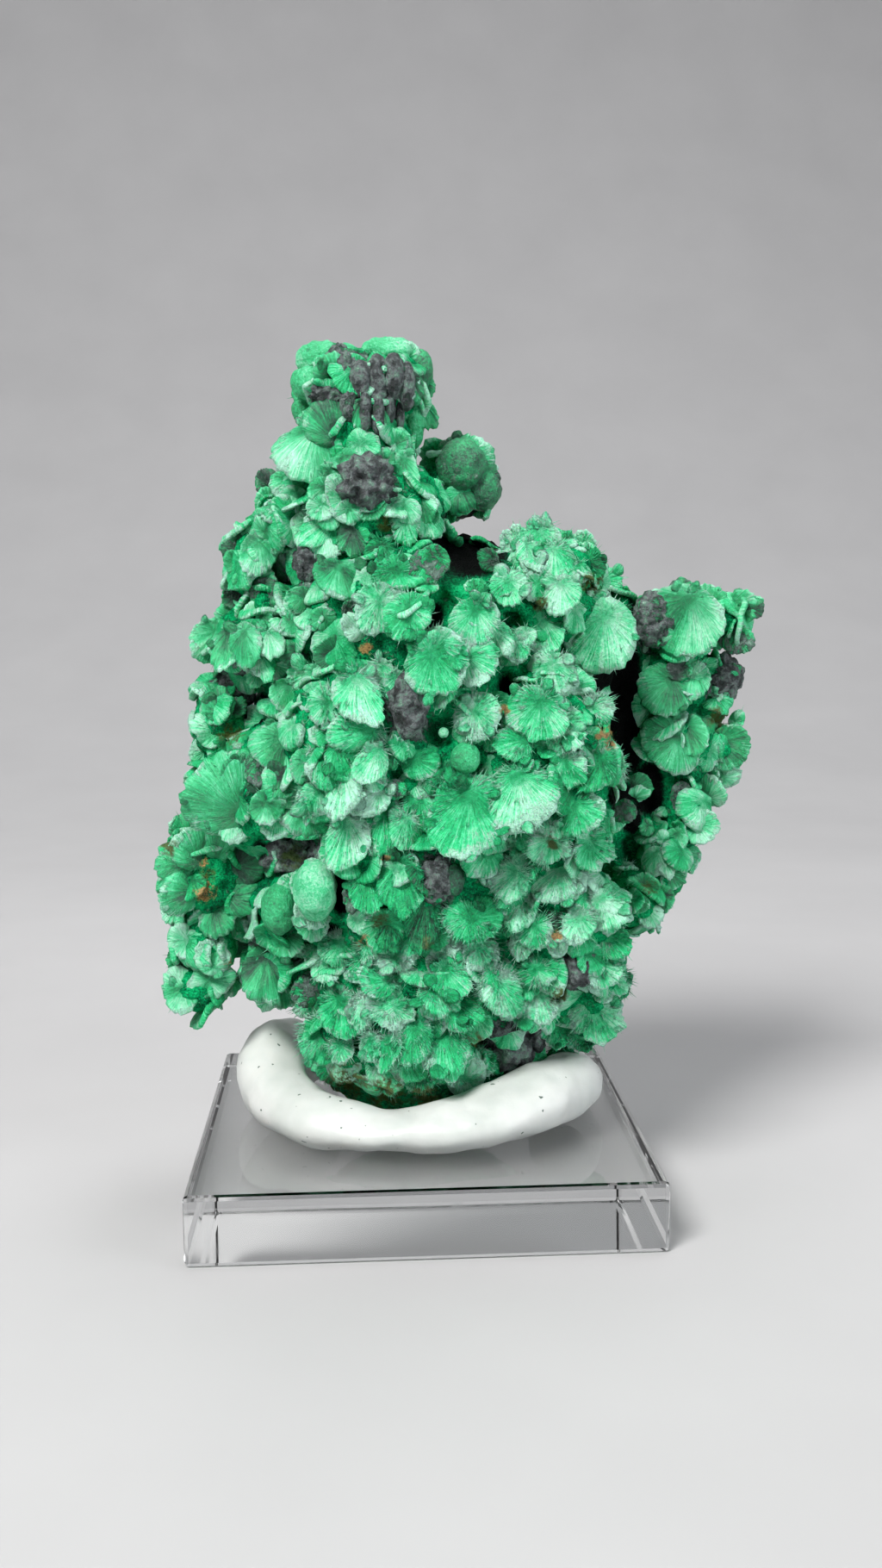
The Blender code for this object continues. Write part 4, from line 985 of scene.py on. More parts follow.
def scatter(name, fans, seed, master=None, fuzz=0.0, finish=VELVETY):
    """One mesh of many fans; fuzz is the share of hairs and flakes, which only large fans have."""
    draw = random.Random(seed)
    side, way, faces = master or FINE_FAN
    crests, hollow, paler = GLASSY_LOOK if finish is GLASSY else VELVETY_LOOK
    spots, fibres, looks, all_faces, hairs, chips = [], [], [], [], [], []
    for number, (middle, along, normal, radius, spread_degrees, tone, *shaped) in enumerate(fans):
        style = fan_style(draw)
        style.update(shaped[0] if shaped else {})
        thick = (0.24 + 0.11 * radius) * draw.uniform(0.8, 1.3)
        half_long, _, back = petal_outline(spread_degrees, style["wander"])
        along, normal = tipped(draw, along, normal)
        a, b, c, reach, pleats, theta = fan_points(side, way, (radius, spread_degrees, thick), style)
        axes = np.array([along, normal.cross(along), normal])
        start = middle - along * (radius * half_long * back)
        spots.append(np.array(start) + np.column_stack([a, b, c]) @ axes)
        mean = radius * 1.5
        fibres.append(np.column_stack([mean * np.cos(theta), mean * np.sin(theta),
                                       reach * mean * 0.07 + 5.0 * number + seed]))
        shade, crust = TONES[tone]
        # Painted shade: fans in the shady places are darker.
        shade = shade + draw.uniform(-0.06, 0.06) + paler - shaded(middle)
        if master is None and crust == 0.0:
            rim = on_face(a, b, c, reach, theta)
            count = int(fuzz * radius * KINDS[style["kind"]][3])
            hairs.append((rim_hairs(draw, count, along, normal, start, rim), shade))
            count = int(min(0.4 + fuzz, 1.2) * radius ** 1.5)
            chips.append((flakes(draw, count, along, normal, start, rim), shade))
        swell = np.clip(pleats / 0.08, -1.0, 1.0)
        # Painted light and shade on the folds: crests paler, valleys darker.
        looks.append(np.column_stack([shade + crests * swell + 0.5 * hollow - hollow * (1.0 - reach),
                                      np.full(len(side), crust), reach * draw.uniform(0.84, 1.04)]))
        all_faces.append(faces + number * len(side))
    total = sum(len(rows) for rows in spots)
    for (hair_spots, hair_faces), shade in hairs:
        count = len(hair_spots)
        spots.append(hair_spots)
        fibres.append(hair_spots)
        looks.append(np.column_stack([np.full(count, min(shade + 0.20, 0.90)), np.zeros(count),
                                      np.full(count, 0.7)]))
        all_faces.append(hair_faces + total)
        total += count
    for rows, shade in chips:
        for chip_spots, chip_fibres, reach in rows:
            spots.append(chip_spots)
            fibres.append(chip_fibres)
            tint = shade + draw.uniform(-0.14, 0.10)
            looks.append(np.column_stack([tint - 0.14 * (1.0 - reach), np.zeros(len(reach)), 0.9 * reach]))
            all_faces.append(FLAKE[2] + total)
            total += len(reach)
    return mesh_of(name, spots, fibres, looks, all_faces, finish)


# %% [markdown]
# ## The fans of the front
#
# The front is laid out region by region, one row for each fan that can be told apart. The peak, the left
# side and the wing are glassy. The middle and the lower half are velvety and have most of the hairs.

# %% The fans of the front
PEAK_FANS = [
    (-5.9, 75, 1.5, 90, 200, 10, 0, "k", CALM), (-9, 72.8, 1.7, 165, 130, 15, 0.5, "m", CALM),
    (-7, 74.6, 1.6, 100, 200, 25, 1, "v", CALM), (-7.6, 71.8, 1.6, 230, 120, 20, 1, "g"),
    (-9, 71, 1.2, 220, 120, 20, 0.3, "m", CALM), (-10.6, 66.2, 1.6, 215, 130, 15, 0.8, "m", CALM),
    (-3.5, 71.2, 1.2, 265, 60, 20, 1, "t"), (-2.6, 70.4, 1.2, 270, 60, 20, 0.8, "d"),
    (-0.1, 72.8, 1.5, 270, 50, 15, 0.8, "t"), (-7, 69.8, 2.4, 100, 150, 5, 1, "d", CALM),
    (-0.4, 75.9, 1.3, 60, 150, 20, 0.4, "m", CALM), (1.2, 73, 1.2, 300, 100, 5, 0, "d", CALM),
    (0.9, 70.6, 1.7, 275, 45, 25, 1.2, "v"), (-8.7, 67.5, 3.6, 262, 165, 25, 2.2, "p", CALM),
    (-10, 65.6, 1.9, 220, 150, 20, 1.2, "m"), (-7.4, 64.9, 1.6, 270, 130, 20, 1, "m"),
    (-5.8, 66.4, 1.4, 300, 120, 15, 1.2, "m", CALM), (-0.6, 65.6, 1.6, 275, 60, 25, 1.5, "p"),
    # The fans at (4.6, 66.8), (6.2, 64.6) and (4, 63.6), on the lobe behind the neck, have dark tones that
    # are partly painted shade: that lobe sits back, in shade.
    (-1, 68.2, 1.3, 280, 90, 20, 1.2, "p"), (4.6, 66.8, 2.6, 80, 220, 5, 0.4, "d", CALM),
    (6.2, 64.6, 2.3, 350, 160, 10, 0.4, "t", CALM), (4, 63.6, 2.2, 260, 160, 10, 0.4, "d", CALM),
    (-8, 63.6, 1.5, 255, 110, 25, 1, "m"), (-8.2, 62.2, 1.4, 260, 110, 25, 1.2, "p"),
    (-13, 64.6, 1.4, 150, 130, 10, 0, "k"), (-13.2, 63, 1.2, 190, 140, 10, 0, "m"),
    (-11.4, 64.3, 1.6, 235, 100, 20, 0.8, "m"), (-10.9, 62.8, 1.7, 240, 100, 25, 1, "p"),
    (-12.4, 61.9, 1.2, 220, 110, 20, 0.5, "m"), (-0.5, 61.9, 1.4, 275, 150, 20, 1, "p"),
    (-3.7, 62.1, 1.4, 265, 150, 15, 0.6, "d"), (-5.6, 61.9, 1.3, 270, 120, 20, 0.8, "m"),
    (1.2, 62.2, 1.5, 290, 120, 15, 0.4, "m"), (1.8, 61.4, 1.1, 300, 120, 15, 0.3, "m"),
    (-4.4, 70.6, 1.2, 270, 60, 20, 1.2, "d"), (-2.3, 66.8, 1, 90, 150, 20, 1, "m"),
    (-1.2, 68.4, 1.1, 60, 150, 20, 1, "m"), (-7.6, 61.4, 1.2, 260, 110, 20, 1, "m"),
    (-3.5, 73.3, 1.4, 270, 60, 15, 0.8, "k"), (-1.5, 73.3, 1.7, 270, 45, 15, 0.8, "k"),
]
LEFT_SHOULDER_FANS = [
    (-16, 59, 1.4, 140, 180, 10, 0, "k"), (-16.1, 57.3, 1.3, 190, 150, 10, 0, "m"),
    (-13.9, 58, 2, 265, 70, 15, 0.6, "p"), (-12.8, 60.8, 1.6, 50, 140, 10, 0.2, "m"),
    (-13.6, 55.9, 1.3, 0, 110, 20, 0.8, "p"), (-13.4, 54.6, 1.6, 300, 130, 15, 0.4, "g"),
    (-16.3, 54.6, 1.2, 170, 110, 15, 0.3, "k"), (-9.4, 60.3, 1.8, 250, 110, 15, 0.8, "p"),
    (-7.8, 59.4, 1.9, 265, 110, 20, 1, "p"), (-5.2, 59.6, 1.9, 280, 110, 15, 0.8, "d"),
    (-6.7, 55.7, 2.6, 265, 150, 25, 2, "v"), (-10, 54, 1.5, 250, 150, 20, 0.8, "d"),
    (-16.6, 53, 1.3, 100, 160, 15, 0.5, "m"), (-14.2, 53, 1.2, 60, 150, 15, 0.5, "p"),
    (-11.2, 53.2, 1.2, 200, 80, 20, 0.8, "p"), (-11, 51.8, 1.3, 290, 130, 20, 0.8, "m"),
    (-18.3, 50.3, 2.2, 245, 110, 15, 0.8, "m"), (-16.9, 49.7, 1.9, 265, 70, 25, 1.6, "d"),
    (-15.2, 50, 1.9, 275, 60, 25, 1.6, "m"), (-13, 50.4, 1.8, 285, 80, 25, 1.2, "p"),
    (-12.4, 48, 1.3, 330, 120, 15, 0.8, "w"), (-10.6, 49.4, 1.7, 270, 200, 20, 1.2, "d"),
    (-7, 49.4, 2, 90, 190, 25, 1, "d"), (-5.4, 51.5, 1.3, 160, 100, 20, 1, "w"),
    (-8.2, 52.4, 1.2, 270, 180, 15, 0.8, "m"), (-14.4, 60, 1, 120, 120, 10, 0, "m"),
    (-15.6, 56, 0.9, 190, 110, 20, 0.6, "m"), (-13.4, 52.4, 0.9, 320, 100, 15, 0.6, "v"),
    (-5.5, 53.2, 1, 270, 200, 10, 0.5, "k"),
]
UPPER_FANS = [
    (-2.9, 58.3, 1.4, 250, 100, 15, 0.8, "d"), (-0.6, 60.4, 1.6, 275, 80, 20, 1, "m"),
    (1.5, 57, 2, 255, 110, 25, 1.2, "g"), (-1.8, 56.2, 2.1, 235, 130, 20, 1.2, "v"),
    (-3.3, 53, 2.3, 255, 80, 25, 1.4, "p"), (-0.6, 52.6, 2.3, 240, 120, 25, 2, "m"),
    (2.9, 50.1, 1.7, 350, 60, 25, 1.6, "p"), (2.2, 48, 3, 295, 110, 30, 2.6, "m"),
    (5.6, 48.5, 2.4, 335, 100, 25, 2, "m"), (5.9, 54.8, 1.2, 60, 160, 15, 0.6, "d"),
    (5.7, 51.9, 2.4, 265, 130, 20, 1.4, "m"), (7.6, 50.3, 1.7, 290, 130, 20, 1.2, "p"),
    (8.9, 54.8, 2, 280, 120, 20, 1.4, "p"), (9.4, 59.2, 1.6, 130, 110, 10, 0.6, "p"),
    (10.3, 57.4, 2, 265, 55, 25, 1.6, "p"), (11.8, 58.4, 2.4, 270, 60, 20, 1.2, "m"),
    (13.4, 57.2, 2, 285, 60, 20, 1.2, "m"), (14, 59, 1.4, 70, 150, 10, 0, "d"),
    (16.2, 57.3, 1.7, 30, 200, 10, 0.3, "d"), (13.8, 54.2, 1.9, 280, 110, 25, 1.8, "p"),
    (11.3, 54.9, 1.4, 250, 110, 20, 1.2, "m"), (10.2, 50.5, 1.2, 250, 130, 20, 1, "p"),
    (12.1, 50.7, 2, 275, 90, 20, 1, "m"), (9.4, 49.3, 1.4, 250, 130, 20, 1.2, "p"),
    (17.9, 55.4, 1.6, 340, 120, 10, 0.3, "p"), (17.2, 50.7, 3.6, 255, 115, 25, 2.2, "p", CALM),
    (18.9, 52.2, 1.5, 320, 120, 10, 0.6, "t"), (6.9, 57.5, 1.1, 180, 120, 10, 0.4, "k"),
    (11.4, 60.6, 0.9, 90, 140, 10, 0.6, "m"), (15.6, 58.9, 1.4, 60, 150, 10, 0, "m"),
    (15.3, 56.2, 1.2, 270, 60, 20, 1, "m"), (15.5, 48.2, 1, 230, 120, 20, 1.2, "v"),
]
WING_FANS = [
    (25, 51.8, 3.8, 250, 150, 20, 1.2, "m", BROAD), (22.4, 51.9, 2.2, 220, 150, 15, 0.8, "g"),
    (24.8, 54, 1.9, 100, 150, 10, 0, "g"), (27.6, 53.9, 1.6, 70, 140, 10, 0, "m"),
    (30.4, 52.9, 1.9, 330, 120, 15, 0.4, "m"), (30.2, 49.8, 1.5, 300, 140, 10, 0, "g"),
    (28.4, 50.6, 1.8, 280, 120, 15, 0.4, "g"), (23.3, 45.6, 2.7, 230, 160, 20, 1, "v", CALM),
    (26, 46.3, 2, 270, 50, 20, 0.3, "m"), (28.7, 46.2, 2, 320, 200, 15, 0.2, "k"),
    (23.9, 40.4, 2.9, 225, 160, 20, 1, "v", CALM), (25.6, 41, 2.2, 285, 80, 20, 0.4, "v"),
    (29.4, 40, 2.3, 330, 150, 15, 0.3, "d"), (29.4, 37.5, 1.5, 30, 90, 15, 0.4, "p"),
    (27.7, 35.9, 1.9, 60, 90, 15, 0.4, "m"), (24.9, 35.4, 1.5, 265, 50, 15, 0, "g"),
    (26.5, 32.6, 2.1, 285, 180, 20, 0.5, "p"), (24.4, 31.4, 1.3, 250, 120, 15, 0.4, "m"),
    (25.6, 29.6, 1.5, 300, 120, 15, 0.2, "m"), (22.4, 29.3, 1.5, 260, 80, 20, 0.6, "p"),
    (24.2, 27.6, 1.3, 300, 120, 15, 0.2, "v"), (21.4, 27.3, 1.5, 90, 180, 20, 0.6, "v"),
    (22.8, 25.6, 1.6, 225, 90, 20, 0.4, "v"), (22, 24.2, 1.4, 290, 120, 15, 0.2, "p"),
    (20.7, 36.5, 1.7, 35, 90, 20, 0.8, "t"), (19.5, 34.2, 1.4, 260, 110, 20, 0.8, "g"),
    (29, 53.6, 1.3, 60, 150, 10, 0, "g"), (31.8, 53, 1.1, 20, 150, 10, 0, "t"),
    (24.6, 47.4, 1.2, 60, 120, 15, 0.6, "k"), (27.8, 44.9, 1, 250, 120, 15, 0.5, "p"),
    (30.2, 42.6, 1, 20, 120, 15, 0.2, "p"), (27.6, 37.6, 1.1, 90, 100, 15, 0.3, "d"),
    (23.6, 28.7, 1, 280, 100, 15, 0.5, "w"), (21, 25.3, 1.1, 270, 150, 10, 0, "d"),
    (22.4, 33.4, 0.8, 30, 120, 15, 0.6, "m"), (21.6, 32.6, 1, 230, 140, 15, 0.5, "d"),
    (23.2, 31.7, 0.8, 90, 120, 15, 0.5, "p"), (20.9, 35.9, 1.1, 50, 60, 20, 1.2, "p"),
]
RIGHT_FANS = [
    (12.6, 46.9, 2.5, 250, 140, 25, 1.6, "p"), (15.3, 46.7, 1.6, 320, 130, 20, 1, "w"),
    (11.3, 43.2, 2.8, 255, 120, 25, 2.2, "v"), (13.9, 41.8, 2.3, 290, 110, 25, 1.8, "p"),
    (16.9, 43.4, 1.8, 300, 150, 15, 0.8, "m"), (9.7, 35.6, 3.5, 270, 120, 25, 2.6, "m", SMOOTH),
    (9.2, 40.6, 1.7, 200, 110, 20, 1.6, "m"), (14.5, 38.1, 1.8, 300, 120, 20, 1.4, "m"),
    (16.7, 38, 2.1, 240, 50, 25, 1.6, "v"), (18.6, 38.6, 1.4, 0, 180, 20, 1, "p"),
    (15.5, 33.9, 2.4, 300, 130, 25, 1.6, "v"), (16.7, 31, 1.9, 330, 70, 25, 1.4, "v"),
    (5.8, 43.1, 2.5, 280, 150, 20, 1.6, "p"), (2.7, 45.9, 1.8, 265, 80, 25, 2, "v"),
    (2.7, 38, 1.9, 280, 180, 20, 1, "d"), (5, 33.6, 4, 268, 75, 25, 2.6, "v", POINTED),
    (0.6, 34.6, 1.8, 275, 90, 25, 1.4, "v"), (-1.8, 36.6, 1, 270, 120, 15, 1, "g"),
]
CENTRE_FANS = [
    (-8.2, 44.3, 1.9, 240, 120, 20, 1.2, "m"), (-5.4, 45, 2.6, 265, 60, 25, 1.8, "p"),
    (-3.1, 47.3, 1.4, 270, 120, 20, 1.4, "p"), (-1.6, 46, 1.4, 270, 70, 25, 1.6, "p"),
    (-9.5, 46.8, 1.6, 240, 120, 20, 1, "p"), (-5.5, 41.8, 2.2, 190, 40, 20, 1.4, "m"),
    (-8.7, 38.7, 1.8, 265, 70, 25, 1.6, "v"), (-7, 39.3, 1.6, 275, 70, 25, 1.6, "v"),
    (-6.5, 36.4, 2.2, 270, 70, 25, 2, "p"), (-9.2, 35.8, 1.7, 250, 120, 20, 1.6, "p"),
    (-4, 38.8, 1.8, 250, 80, 20, 1.4, "p"), (-3.9, 35.7, 1.7, 230, 60, 20, 1.4, "w"),
    (-2.9, 33, 2.3, 265, 60, 25, 1.6, "v"), (-0.9, 32.8, 1.8, 265, 80, 25, 1.6, "p"),
    (-6.1, 31.6, 2.4, 270, 70, 25, 1.8, "p"), (-1.9, 40.4, 1.4, 90, 150, 20, 0.8, "d"),
    (-3, 44.4, 1.1, 265, 60, 20, 1, "k"), (-10.6, 47, 1.2, 240, 120, 15, 0.8, "m"),
    (-7.4, 33.2, 1, 270, 150, 10, 0.6, "d"),
]
LEFT_FANS = [
    (-18, 44.9, 1.8, 115, 60, 15, 0.3, "v"), (-18.9, 42.4, 1.8, 175, 120, 15, 0.3, "p"),
    (-19.6, 40.3, 1.2, 200, 130, 10, 0.2, "w"), (-13.6, 35.1, 1.8, 290, 120, 20, 1, "m"),
    (-17.4, 36.5, 4, 130, 160, 12, 2.6, "m", CALM), (-15.9, 38.6, 2, 60, 90, 20, 1, "d"),
    (-19.2, 35, 1.6, 190, 90, 20, 0.6, "v"), (-16.6, 33.6, 1.9, 280, 130, 20, 1, "p"),
    (-12.2, 40.7, 2.7, 255, 200, 15, 1.6, "v", CALM), (-12.2, 37.4, 1.6, 280, 150, 20, 1, "d"),
    (-10.3, 34.2, 2.5, 270, 120, 25, 1.8, "p"), (-11.8, 45.3, 1.6, 260, 100, 20, 1, "m"),
    (-10.2, 39, 1.5, 250, 100, 20, 1.2, "m"), (-20.5, 31.4, 2.1, 112, 95, 28, 2.4, "v", CALM),
    (-18.2, 31.7, 1.6, 80, 80, 25, 2.2, "m", CALM), (-21.2, 33.2, 1.6, 120, 100, 15, 0.2, "d", CALM),
    (-22.2, 30, 1.9, 168, 95, 22, 2, "m", CALM), (-21.8, 27.1, 2.1, 195, 90, 25, 2.2, "v", CALM),
    (-15.9, 30, 2.2, 22, 85, 25, 2.4, "d", CALM), (-16.2, 26.7, 2, 355, 70, 25, 2.4, "v", CALM),
    (-18.6, 24.9, 1.9, 275, 95, 28, 2.2, "m", CALM), (-17.3, 24.6, 1.7, 275, 60, 15, 0.3, "d"),
    (-22.8, 25.6, 1.3, 220, 110, 15, 0.6, "p"), (-16.4, 22.9, 2.1, 30, 60, 15, 0.3, "d"),
    (-21.7, 22.7, 1.7, 200, 150, 15, 0.5, "w"), (-22, 21, 1.5, 240, 150, 15, 0.5, "d"),
    (-19, 21.2, 1.8, 90, 120, 15, 0.8, "p"), (-19.3, 18.6, 2.4, 290, 220, -10, 0.6, "p"),
    (-22.3, 18, 2.3, 200, 220, -5, 0.2, "p"), (-14.4, 22.2, 1.5, 100, 140, 15, 0.8, "g"),
    (-14.2, 19.2, 2.8, 265, 80, 20, 0.8, "d"), (-12.3, 22.4, 1.8, 280, 90, 20, 1, "v"),
    (-12.7, 17.2, 1.4, 270, 80, 15, 0.6, "m"), (-10, 27.9, 1.7, 250, 150, 15, 0.6, "d"),
    (-9.7, 25.2, 1.9, 265, 110, 20, 1.2, "p"), (-16.3, 44.5, 1.1, 60, 120, 10, 0.3, "d"),
    (-14.6, 38.2, 1.2, 270, 120, 15, 0.6, "g"), (-14.2, 47.2, 1.2, 270, 120, 15, 0.6, "p"),
    (-21.5, 24.4, 1.2, 240, 100, 15, 0.6, "w"), (-9.7, 23.9, 1.5, 270, 120, 15, 1, "p"),
]
LOWER_FANS = [
    (-4.6, 27, 2, 270, 60, 10, 0.4, "v"), (-1.5, 27.5, 2.6, 270, 60, 10, 0.4, "d"),
    (0.8, 24.5, 2.4, 270, 50, 10, 0.4, "d"), (5.2, 24.3, 2.7, 280, 200, 20, 1.6, "v"),
    (-7.2, 21.6, 2, 270, 140, 20, 1.2, "m"), (-9.6, 21.6, 1.6, 260, 120, 20, 1, "p"),
    (-4.2, 21.3, 1.7, 290, 140, 20, 1.2, "p"), (-1.9, 20.6, 1.6, 270, 180, 20, 1.2, "p"),
    (2.7, 21.4, 1.4, 280, 140, 15, 1, "w"), (8.3, 27.8, 2.3, 215, 120, 20, 1.4, "p"),
    (10.3, 29.6, 1.8, 265, 80, 20, 1.2, "v"), (12.4, 31, 1.9, 250, 120, 20, 1.4, "p"),
    (13.4, 27.5, 2.6, 265, 110, 25, 1.8, "p"), (17.9, 28.2, 2, 340, 110, 20, 1, "v"),
    (17.5, 24.6, 2.5, 280, 130, 20, 1.6, "p"), (15.3, 23, 1.9, 265, 90, 20, 1.4, "p"),
    (11.1, 22.9, 1.8, 265, 90, 20, 1.4, "v"), (9.5, 25.2, 1.9, 255, 90, 20, 1.2, "p"),
    (18.4, 21.6, 1.9, 300, 120, 20, 1, "v"), (6, 20.8, 1.9, 290, 120, 20, 1.4, "m"),
    (11.4, 19, 2, 270, 200, 20, 1.4, "m"), (17.4, 19, 1.9, 290, 160, 20, 1.4, "p"),
    (19, 17.8, 1.6, 300, 110, 10, 0.2, "d"), (7.9, 17, 2.3, 295, 100, 25, 1.8, "p"),
    (3.3, 18.3, 2, 300, 90, 20, 1.2, "v"), (4, 15.3, 2.2, 300, 90, 20, 1.2, "v"),
    (1.9, 17, 1.8, 290, 90, 20, 1.2, "m"), (11.3, 15.9, 1.9, 270, 110, 20, 1.2, "m"),
    (17, 14.4, 2.7, 290, 150, 15, 1, "m"), (13, 13.3, 1.9, 270, 110, 20, 1, "v"),
    (-4, 18.4, 1.8, 180, 100, 20, 1.2, "v"), (-7.3, 15.3, 2.4, 265, 50, 25, 1.4, "v"),
    (-10.1, 17.8, 1.7, 180, 200, 20, 1, "g"), (-8.6, 19.5, 1.6, 270, 120, 20, 1.2, "p"),
    (-9, 12.9, 2.5, 240, 130, 15, 0.6, "m"), (-5.2, 15.6, 1.6, 265, 60, 20, 1.4, "p"),
    (-2.9, 11.8, 1.7, 270, 90, 20, 1.2, "v"), (-0.4, 12.6, 2.2, 270, 50, 20, 1.2, "v"),
    (2.4, 11.8, 2.8, 275, 75, 20, 1.4, "v"), (0.2, 9.2, 1.6, 270, 150, 10, 0.4, "m"),
    (5.6, 10.2, 1.7, 290, 130, 10, 0.4, "v"), (-5.8, 26.8, 1.5, 230, 60, 10, 0.2, "g"),
    (-2.5, 23.5, 1.8, 270, 60, 10, 0.4, "d"), (-0.6, 21.8, 1.4, 270, 60, 10, 0.6, "v"),
    (0.9, 28.6, 2, 270, 120, 10, 0.2, "k"), (-5, 19.6, 1.4, 270, 120, 15, 0.8, "d"),
    (19.8, 28.7, 0.8, 0, 150, 15, 0.8, "w"), (13.1, 23.6, 1.4, 270, 120, 10, 0.4, "k"),
    (9.6, 21.5, 1.2, 250, 120, 15, 1, "p"), (8.4, 23.6, 1.2, 270, 120, 10, 0.4, "d"),
    (4.6, 21.2, 1.1, 220, 80, 20, 1.4, "w"), (6.8, 18.3, 1, 265, 40, 20, 1.6, "v"),
    (9.9, 14.9, 1.2, 270, 120, 15, 1, "m"), (15.3, 12.4, 1.5, 270, 120, 10, 0.4, "d"),
    (13.6, 10.7, 1.4, 270, 150, 10, 0.2, "d"), (-10.5, 16, 1.3, 250, 120, 15, 0.8, "m"),
    (-7.2, 11.9, 1.3, 290, 110, 20, 1.2, "m"), (-4.5, 12, 1.4, 265, 50, 15, 1, "m"),
    (-2.8, 8.4, 1.2, 265, 150, 15, 0.8, "m"), (3.4, 9, 1.2, 270, 120, 15, 0.6, "p"),
    (-8.3, 9.8, 1.5, 250, 130, 15, 0.6, "d"), (-2.5, 16, 2.3, 270, 330, 15, 1, "p"),
]
# The piece's name, its rows, its share of hairs and flakes, its finish
FRONT = [
    ("fans_peak", PEAK_FANS, 0.1, GLASSY), ("fans_left_shoulder", LEFT_SHOULDER_FANS, 0.1, GLASSY),
    ("fans_upper", UPPER_FANS, 0.7, VELVETY), ("fans_wing", WING_FANS, 0.1, GLASSY),
    ("fans_right", RIGHT_FANS, 2.0, VELVETY), ("fans_centre", CENTRE_FANS, 1.2, VELVETY),
    ("fans_left", LEFT_FANS, 0.1, GLASSY), ("fans_lower", LOWER_FANS, 3.0, VELVETY),
]
FRONT_SEED = 20
stone_pieces = [core]
for seed, (name, entries, fuzz, finish) in enumerate(FRONT, FRONT_SEED):
    stone_pieces.append(scatter(name, [front_fan(entry) for entry in entries], seed, None, fuzz, finish))

# %% [markdown]
# ## Small fans between the large ones
#
# In the stone the gaps are full of younger, smaller fans. They are thrown over the lobes at random, with
# a fixed seed: a place is kept if it is outside every other lobe, far enough from those kept before, and
# not in a pit. On the front they show as frayed edges deep between the laid-out fans. A lower limit keeps
# them out of the putty, but for a few rims that are sunk in it by half a millimetre.

# %% Fillers on the front
LOW_BEHIND, LOW_SIDES, LOW_FRONT = 8.5, 14.0, 11.0
FILLER_TRIES, BACK_TRIES = 40000, 9000


def lobe_place(draw, weights):
    lobe = draw.choices(LOBES, weights)[0]
    turn, rise = draw.uniform(-math.pi, math.pi), draw.uniform(-1.0, 1.0)
    level = math.sqrt(1.0 - rise * rise)
    unit = (level * math.cos(turn), level * math.sin(turn), rise)
    point = Vector(lobe[i] + lobe[3 + i] * unit[i] for i in range(3))
    return lobe, point, lobe_normal(lobe, point)


def grown_on(point, normal, size, swing, spread_degrees, lean, tone):
    """A fan on the skin at a point, opening downwards but for its swing, its rim leaning out."""
    flat = DOWN - normal * DOWN.dot(normal)
    if flat.length < 0.2:
        flat = normal.cross(Vector((0.0, 1.0, 0.0)))
    flat = Matrix.Rotation(math.radians(swing), 3, normal) @ flat.normalized()
    tilt = math.radians(lean)
    along = flat * math.cos(tilt) + normal * math.sin(tilt)
    face = normal * math.cos(tilt) - flat * math.sin(tilt)
    return point, along, face, size, spread_degrees, tone


PIT_PLACES = [(first_surface(VIEW_POINT, sight_frame(x, z)[0]), radius) for x, z, radius, _ in PITS]


def in_pit(point):
    x, z = seen_plane(np.array([point]) * MM)
    hollow = point.y < 9.0 and in_hollow(x, z)[0] > 0.0
    return hollow or any((point - middle).length < radius + 0.5 for middle, radius in PIT_PLACES)


def spaced_places(seed, count, tries, spacing, drawn, allowed):
    """Places spread over the lobes: outside every other lobe, allowed, and not too near each other."""
    draw = random.Random(seed)
    weights = [x * y + y * z + z * x for _, _, _, x, y, z in LOBES]
    kept = []
    for _ in range(tries):
        lobe, point, normal = lobe_place(draw, weights)
        row = drawn(draw)
        facing = normal.dot((VIEW_POINT - point).normalized())
        if not allowed(point, normal, facing) or not outside_lobes(point, lobe):
            continue
        if any((point - other[0]).length < spacing for other in kept):
            continue
        kept.append((point, normal, *row))
        if len(kept) == count:
            break
    return kept


def fillers(count, seed, spacing, facings, sizes, tones, most_lift):
    def drawn(draw):
        return (draw.uniform(*sizes), draw.gauss(0.0, 45.0), draw.uniform(80.0, 190.0),
                draw.uniform(12.0, 34.0), draw.choice(tones))

    def allowed(point, normal, facing):
        lowest = LOW_BEHIND if facing < -0.3 else LOW_SIDES if facing < 0.05 else LOW_FRONT
        return facings[0] < facing < facings[1] and point.z >= lowest and not in_pit(point)

    raised = random.Random(seed + 1)
    return [grown_on(point + normal * (raised.uniform(0.0, most_lift) * abs(normal.y)), normal, *row)
            for point, normal, *row in spaced_places(seed, count, FILLER_TRIES, spacing, drawn, allowed)]


filler_fans = fillers(340, 5, 1.9, (0.05, 1.1), (1.2, 2.4), "vvvmmmmpp", 0.6)
stone_pieces.append(scatter("fans_filler", filler_fans, 61, SMALL_FAN))

# %% [markdown]
# ## The sides and the back
#
# The back of this specimen isn't seen, so it is dressed as the front is: the same large fans that the
# solid has there, drawn with the same seed, and smaller ones between them.

# %% Fans behind


def back_fans():
    def drawn(draw):
        return (draw.uniform(1.5, 3.0), draw.gauss(0.0, 38.0), draw.uniform(80.0, 190.0),
                draw.uniform(12.0, 28.0))

    def allowed(point, normal, facing):
        low = point.z < 13.0 or (point.z < 16.0 and normal.z < 0.2)
        return facing <= 0.05 and not low

    tone_draw = random.Random(12)
    return [grown_on(*row, tone_draw.choice("ppmmmvvddw"))
            for row in spaced_places(11, 210, BACK_TRIES, 3.4, drawn, allowed)]


stone_pieces.append(scatter("fans_back", back_fans(), 71, SMALL_FAN))
small_fans = fillers(250, 7, 2.1, (-1.1, 0.05), (1.0, 1.9), "kddvvmmpp", 0.8)
stone_pieces.append(scatter("fans_back_small", small_fans, 72, SMALL_FAN))

